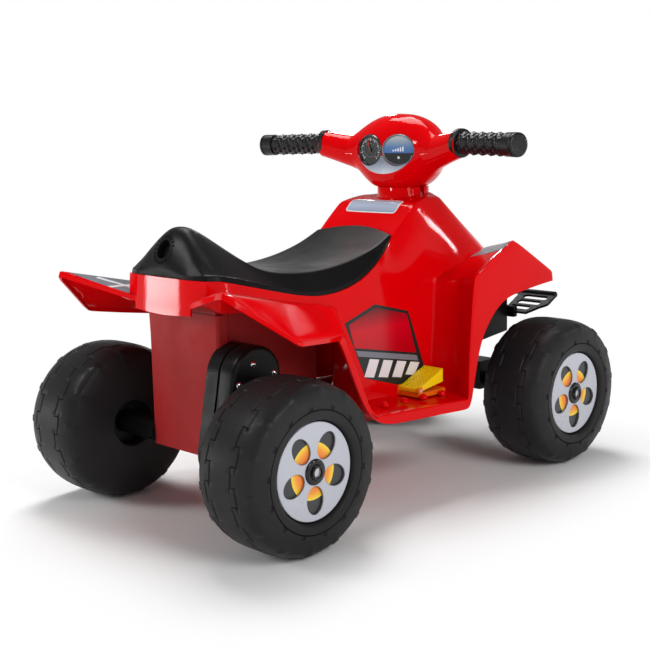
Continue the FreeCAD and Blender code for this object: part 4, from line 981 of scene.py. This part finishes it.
def make_pod():
    """The handlebar's cover: a rounded pod between two arms, with the dials let into its rear."""
    around = 72
    belly_reach, belly_flat, flat_run, belly_drop, drop_run = 62.0, 2.4, 1.7, 4.0, 2.0
    recess_gap, recess_depth, recess_lift = 0.5, 30.0, 14.2
    sections = pod_sections()
    full = [(-s[0], *s[1:]) for s in reversed(sections[1:])] + sections
    rows = []
    for y, x, z, depth, tall in full:
        inner = max(0.0, 1 - abs(y) / belly_reach)
        flat = 2.0 + belly_flat * min(1.0, flat_run * inner)
        drop = belly_drop * min(1.0, drop_run * inner)
        row = []
        for i in range(around + 1):
            a = 2 * pi * (i % around) / around
            c, s = cos(a), sin(a)
            power, high = (2 / flat, tall + drop) if s < 0 else (1.0, tall)
            ahead = depth * copysign(abs(c) ** power, c)
            row.append((x + ahead, y, z + high * copysign(abs(s) ** power, s)))
        rows.append(row)
    pod = from_faces("handlebar_pod", grid(rows) + [rows[0][:-1], rows[-1][:-1]])
    tree = tree_of(pod)
    for side in signs:
        outline = oval(dial_half_width + recess_gap)
        cut(pod, dial_plate("dial_recess", side, [outline], recess_depth, recess_lift))
    covers = ["handlebar_rear_cover", "handlebar_front_cover"]
    dress(pod, red_gloss, "steering", covers, sharp=14)
    return tree


def make_panel(tree):
    """The crescent plate below the dials."""
    near_x, bite_half, bite_tall, low_half, low_tall = 90, 24.3, 20.4, 47.5, 30.5
    bite_start, bite_sweep, low_start, low_sweep = (radians(turn) for turn in (200, 140, -12, -156))
    outline = []
    for sign in signs.values():
        outline += arc((-sign * dial_y, dial_z), bite_half, bite_start, bite_sweep, 12, bite_tall)
    outline += arc((0, dial_z), low_half, low_start, low_sweep, 24, low_tall)
    film(
        "gauge_panel_plate", [(near_x, -across, z) for across, z in outline], (-1, 0, 0), tree, 0.35,
        panel_blue, "steering", longest=4.0, replaces=["gauge_panel"],
    )


def make_dials():
    """Two toed-out dials, each with a bezel, a face and plain marks."""
    ring = [(0, 0.2), (0, 2.8), (-0.5, 3.6), (-1.4, 3.7), (-2.1, 2.9), (-2.4, 1.2), (-2.4, 0.2), (0, 0.2)]
    face_inset, face_lift, mark_lift = 2.2, 1.4, 2.2
    for side, ring_look, face_look in (("left", rim_dark, gloss_black), ("right", rim_grey, display_blue_painted_reflection)):
        rows = [[(u, -lift, v) for u, v in oval(dial_half_width + grow)] for grow, lift in ring]
        bezel = from_faces(f"gauge_{side}_bezel", grid([row + row[:1] for row in rows]))
        bezel.data.transform(dial_stand(side) @ spun(-quarter_turn, "X"))
        dress(bezel, ring_look, "steering", sharp=50)
        outline = oval(dial_half_width - face_inset)
        face = dial_plate(f"gauge_{side}_face", side, [outline], 1.0, face_lift, 0.2)
        dress(face, face_look, "steering", [f"gauge_{side}"], sharp=40)

    def mark(side, name, outlines, look, depth=0.3, lift=mark_lift):
        piece = dial_plate(f"gauge_{side}_{name}", side, outlines, depth, lift)
        dress(piece, look, "steering")

    ticks = []
    for i in range(25):
        turn = 225 - 270 * i / 24
        inner_half, width = (17.8, 0.5) if i % 3 else (16.4, 0.9)
        inner, outer = (oval(half, 1, turn, 0.0)[0] for half in (inner_half, 20.6))
        ticks.append(strip_outline(inner, outer, width))
    mark("left", "ticks", ticks, sticker_white)
    mark("left", "scale", [oval(13.6), oval(13.1)], rim_grey)
    mark("left", "needle", [strip_outline((1, -3), (-4, 12), 1.4)], needle_red, 0.5, 2.8)
    mark("left", "boss", [ring_points(2.4, 24)], rim_dark, 0.8, 3.0)
    mark("right", "shade", [oval(22.2, 30, 192, 156)], gloss_black)
    bars = []
    bar_count, first, pitch, width, foot, least = 5, -9, 3.6, 2.0, -1.5, 0.5
    for i in range(bar_count):
        u = first + pitch * i
        bars.append([(u, foot), (u + width, foot), (u + width, least + i), (u, least + i)])
    mark("right", "level", bars, sticker_white)
    mark("right", "lamp", [ring_points(1.7, 24, (0, -9.5))], sticker_white, 0.4, 2.5)


pod_tree = make_pod()
make_panel(pod_tree)
make_dials()


def make_grip(side):
    """A soft grip with rows of bumps, a flange at its inner end and a ringed cap at its outer end."""
    start = Vector((106.2, signs[side] * 115.0, 422.6))
    end = Vector((85.5, signs[side] * 221.5, 420.8))
    length = (end - start).length
    flange, pitch, count, steps, around = 7.0, 8.0, 10, 8, 60
    core, bump, bumps_around, least_share = 12.4, 2.3, 4, 0.2
    first = flange + 1
    cap = first + count * pitch
    stations = [(0, 13.0), (0, 17.2), (0.6, 18), (flange - 0.8, 18), (flange - 0.2, 17.3), (flange, 13.0)]
    stations += [(first + i * pitch / steps, None) for i in range(count * steps)]
    stations += [(cap + 1, 12.6), (cap + 1.4, 14.4)]
    for before_end, radius in (
        (6, 14.6), (5.4, 13.8), (4, 13.8), (3.6, 14.6), (1.2, 14.4), (0.3, 13.2), (0, 11), (0, 0.01),
    ):
        stations.append((length - before_end, radius))
    rows = []
    for along, radius in stations:
        row = []
        for i in range(around + 1):
            a = 2 * pi * (i % around) / around
            r = radius
            if r is None:
                place = (along - first) / pitch
                stagger = pi / 2 * (int(place) % 2)
                wave = sin(pi * (place % 1)) ** 2
                share = least_share + (1 - least_share) * cos(bumps_around * a + stagger) ** 2
                r = core + bump * wave * share
            row.append((r * cos(a), r * sin(a), along))
        rows.append(row)
    grip = from_faces(f"grip_{side}_soft", grid(rows))
    grip.data.transform(at(*start) @ facing_along(end - start, "Z", "Y"))
    dress(grip, grip_black, "steering", [f"grip_{side}"], sharp=50)


for grip_side in signs:
    make_grip(grip_side)


def make_collar():
    """An upright ring on the tank, with a notch at each side."""
    profile = [(30.5, -6), (34, -6), (34, 14), (33.4, 14.8), (31.2, 14.8), (30.5, 14), (30.5, -6)]
    notch_half_x, notch_half_y, notch_y, notch_low, notch_high = 3.5, 4, 33, -8, 16
    stand = at(130.5, 0, 351)
    collar = from_faces("steering_collar_ring", revolve(profile, 96))
    collar.data.transform(stand @ spun(quarter_turn, "X"))
    for sign in signs.values():
        low = (-notch_half_x, sign * notch_y - notch_half_y, notch_low)
        high = (notch_half_x, sign * notch_y + notch_half_y, notch_high)
        notch = from_faces("collar_notch", box_faces(low, high))
        notch.data.transform(stand)
        cut(collar, notch)
    dress(collar, red_gloss, "chassis", ["steering_collar"], sharp=40)


make_collar()


# Gearbox cover, tub, pedal and bumper
def hull_outline(low, low_radius, high, high_radius, steps):
    """The outline round two circles and their tangents."""
    run = Vector(high) - Vector(low)
    lean = acos((low_radius - high_radius) / run.length)
    aim = atan2(run.y, run.x)
    upper = arc(high, high_radius, aim - lean, 2 * lean, steps)
    return upper + arc(low, low_radius, aim + lean, 2 * pi - 2 * lean, steps)


gearbox_face = -106.0
gearbox_depth = 26.0
gearbox_edge = 5.0
gearbox_low = (-wheel_x, axle_z)
gearbox_high = (-228, 180)
gearbox_radii = (41.5, 35.0)
gearbox_bore = 16.0
gearbox_screw_places = ((-234, 196), (-204, 182), (-255, 176))


def make_gearbox():
    """A black case with a round edge, and its three screw heads."""
    edge = gearbox_edge
    low_radius, high_radius = (radius - edge for radius in gearbox_radii)
    outline = hull_outline(gearbox_low, low_radius, gearbox_high, high_radius, 40)
    bore = ring_points(gearbox_bore, 40, gearbox_low)
    cover = outline_plate("gearbox_cover", [outline, bore], gearbox_depth - 2 * edge, edge, 5)
    stood_up(cover, gearbox_face + gearbox_depth / 2)
    dress(cover, trim_black, "chassis", ["gearbox_outer_case"], sharp=40)
    dome = revolve([(0.01, 2.4), (1.8, 2.1), (3.2, 1.2), (3.8, 0), (3.8, -3), (0.01, -3)], 24)
    faces = []
    for x, z in gearbox_screw_places:
        faces += [[(px + x, gearbox_face - py, pz + z) for px, py, pz in face] for face in dome]
    screws = from_faces("gearbox_screw_heads", faces)
    dress(screws, chrome, "chassis", ["gearbox_screws"], sharp=40)


def make_tub():
    """The tub's rear: drafted walls with rounded corners and a raised post at each corner."""
    plan = [
        (-95, 61), (-230, 61), (-233, 63.6), (-241, 63.6), (-244.5, 62.6), (-246.6, 60), (-247.4, 56),
        (-247.4, 20), (-247.4, 0),
    ]
    levels = ((246, 1.0), (180, -0.6), (110, -2.4), (88, -3.0), (83.5, -5.0), (81.6, -9.0))
    draft_front_x, draft_inner_y, rear_draft = -200, 30, 0.6
    rows = []
    for z, grow in levels:
        row = []
        for x, out in plan:
            back = grow * rear_draft if x < draft_front_x else 0.0
            row.append((x - back, max(out + (grow if out > draft_inner_y else 0), 0), z))
        rows.append(row)
    bottom = rows[-1]
    faces = grid(rows) + grid([bottom, [(x, 0, z) for x, _, z in bottom]])
    tub = from_faces("tub_rear", both_sides(faces), (-1, 0, 0))
    modify(tub, "SOLIDIFY", thickness=1.0 * MM, offset=-1.0)
    dress(tub, red_matte, "chassis", sharp=25)


def make_pedal_tread():
    """Rows of small raised studs on the pedal's sloping face."""
    tree = tree_of(bpy.data.objects["pedal"])
    low, high = Vector((29, -109.5, 160)), Vector((70, -86.5, 160))
    rows, columns = 9, 5
    half, tall, root = 1.3, 0.7, 0.4
    stud = box_faces((-half, -half, -root), (half, half, tall))
    faces = []
    for i in range(rows):
        for j in range(columns):
            x = low.x + (high.x - low.x) * i / (rows - 1)
            y = low.y + (high.y - low.y) * j / (columns - 1)
            hit, normal, _, _ = tree.ray_cast(Vector((x, y, low.z)) * MM, Vector((0, 0, -1)), 0.1)
            if hit is None or normal.z < 0.5:
                continue
            faces += placed(stud, Matrix.Translation(hit / MM) @ facing_along(normal, "Z", "Y"))
    studs = from_faces("pedal_tread", faces)
    modify(studs, "BEVEL", width=0.3 * MM, segments=2)
    dress(studs, pedal_yellow, "pedal")


def make_pedal_spring():
    """The spring under the pedal, copied from the frame's own spring."""
    coil = new_object("pedal_spring_coil", bpy.data.objects["pedal_spring"].data.copy())
    dress(coil, steel, "chassis", ["pedal_spring"])
    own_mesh(coil)


def stadium(start, end, half_width, across, steps=8):
    """A slot's outline between two places along Y, at a place along X."""
    low, high = sorted((start, end))
    upper = arc((across, high), half_width, 0, pi, steps)
    return upper + arc((across, low), half_width, pi, pi, steps)


def make_bumper():
    """A slotted plate at each end of a round bar, rising forward from a foot on the front cover."""
    lean = atan2(22, 42)
    stand = at(286.2, 0, 184.5) @ spun(-lean, "Y")
    edge = ((-2, 51), (-2, 88), (14, 101), (19, 107), (23, 110), (42, 110), (46, 108), (48, 104), (48, 51))
    open_slots = ((9, 60, 84), (21.5, 64, 94), (34, 66, 98))
    slot_half, plate_depth, plate_edge = 4.7, 2.4, 0.6
    for side, sign in signs.items():
        outline = [(along, sign * out) for along, out in edge]
        slots = [stadium(sign * start, sign * end, slot_half, place) for place, start, end in open_slots]
        plate = outline_plate(f"front_bumper_plate_{side}", [outline] + slots, plate_depth, plate_edge)
        plate.data.transform(stand)
        dress(plate, trim_black, "chassis", sharp=40)
    bar_half, bar_radius, tip_radius = 110.0, 4.4, 3.2
    near_tip = [(0.01, bar_half), (tip_radius, bar_half - 0.6), (bar_radius, bar_half - 2)]
    profile = [(r, -w) for r, w in near_tip] + near_tip[::-1]
    bar = from_faces("front_bumper_bar", revolve(profile, 32))
    bar.data.transform(at(326.8, 0, 206.2))
    dress(bar, trim_black, "chassis", ["front_bumper"], sharp=50)
    foot = from_faces("front_bumper_foot", box_faces((282.4, -70, 176), (291, 70, 192)))
    modify(foot, "BEVEL", width=2.5 * MM, segments=3)
    dress(foot, trim_black, "chassis", sharp=40)


make_gearbox()
make_tub()
make_bumper()
make_pedal_tread()
make_pedal_spring()


# Camera at the photograph's place, and the studio
def make_camera():
    place = (-1065.5, -1065.0, 453.4)
    yaw, pitch, roll = 0.776, 0.169, -0.022
    data = bpy.data.cameras.new("camera")
    data.sensor_width = 36.0
    data.lens = 66.3
    scene.camera = new_object("camera", data)
    tilt = spun(quarter_turn - pitch, "X") @ spun(roll, "Z")
    scene.camera.matrix_world = at(*place) @ spun(-yaw, "Z") @ tilt


def area_light(name, place, target, size, power, diffuse=True, glossy=True):
    data = bpy.data.lights.new(name, "AREA")
    data.shape = "RECTANGLE"
    data.size, data.size_y = size
    data.energy = power
    light = new_object(name, data)
    light.location = place
    light.rotation_euler = (Vector(target) - Vector(place)).to_track_quat("-Z", "Y").to_euler()
    light.visible_camera = False
    light.visible_diffuse = diffuse
    light.visible_glossy = glossy


def mirror_light(name, point, tree, distance, size, power):
    """A small soft box whose reflection in a glossy skin shows to the camera near the named point."""
    place, normal, _, _ = tree.find_nearest(Vector(point) * MM)
    view = (scene.camera.matrix_world.translation - place).normalized()
    bounce = 2 * normal.dot(view) * normal - view
    area_light(name, place + bounce * distance, place, size, power, diffuse=False)


def make_lights():
    area_light("key", (-0.3, -1.9, 1.2), (0, 0, 0.2), (0.9, 0.9), 20)
    area_light("top", (0.5, 0.8, 2.2), (0, 0, 0.1), (1.0, 1.0), 38)
    area_light("rear", (-1.15, 0.85, 0.56), (-0.27, 0, 0.27), (0.34, 0.42), 8, glossy=False)
    mirror_light("band_shine", (-276, -8, 277), body_tree, 1.2, (0.24, 0.06), 1.5)
    mirror_light("corner_shine", (-246, -82, 276), body_tree, 1.2, (0.03, 0.1), 0.5)
    mirror_light("guard_shine", (112, -88, 258), body_tree, 1.2, (0.05, 0.1), 0.8)
    mirror_light("tank_shine", (110, -74, 320), body_tree, 1.2, (0.06, 0.06), 0.7)
    mirror_light("pod_shine", (116, -47, 419), pod_tree, 1.0, (0.1, 0.12), 3.2)


def white_seen(tree):
    """One where a camera, glossy or transmission ray looks, and nought for light that falls on things."""
    seen = add(tree, "LightPath", {}, "Is Camera Ray")
    for kind in ("Is Glossy Ray", "Is Transmission Ray"):
        ray = add(tree, "LightPath", {}, kind)
        seen = add(tree, "Math", {0: seen, 1: ray}, operation="MAXIMUM")
    return seen


def make_backdrop():
    """White to look at, and greyer from above for the light that it gives."""
    fill_light = 0.72
    sky_stops = ((0.1, (1, 1, 1)), (0.2, (0.24, 0.24, 0.24)))
    world = bpy.data.worlds.new("studio")
    scene.world = world
    world.use_nodes = True
    tree = world.node_tree
    direction = add(tree, "TexCoord", {}, "Generated")
    feed(tree.nodes["Background"], {
        "Color": ramp(tree, height_in(tree, direction), sky_stops),
        "Strength": span(tree, white_seen(tree), 0.0, 1.0, fill_light, 1.0),
    })


def make_floor():
    """A pale floor that keeps the shadow near the object and fades to white further out."""
    half = 9000
    shadow_half = (0.3, 0.17, 0)
    fade_start, fade_end = 0.01, 0.2
    tints = ((noise_low, (0.94, 0.94, 0.94)), (noise_high, (0.96, 0.96, 0.96)))
    corners = [(-half, -half, 0), (half, -half, 0), (half, half, 0), (-half, half, 0)]
    floor = from_faces("floor", [corners], up)
    material, tree, shader = shader_for("floor_paint")
    feed(shader, {
        "Base Color": ramp(tree, noise(tree, 1.5), tints), "Roughness": 0.7, "Specular IOR Level": 0.1,
    })
    apart = add(tree, "VectorMath", {0: on_piece(tree)}, operation="ABSOLUTE")
    apart = add(tree, "VectorMath", {0: apart, 1: shadow_half}, operation="SUBTRACT")
    apart = add(tree, "VectorMath", {0: apart, 1: (0, 0, 0)}, operation="MAXIMUM")
    reach = add(tree, "VectorMath", {0: apart}, "Value", operation="LENGTH")
    fade = span(tree, reach, fade_start, fade_end, kind="SMOOTHSTEP")
    glow = add(tree, "Emission", {})
    mix = add(tree, "MixShader", {"Fac": fade, 1: shader.outputs["BSDF"], 2: glow})
    feed(tree.nodes["Material Output"], {"Surface": mix})
    floor.data.materials.append(material)


scene.view_settings.view_transform = "Standard"
make_camera()
make_lights()
make_backdrop()
make_floor()
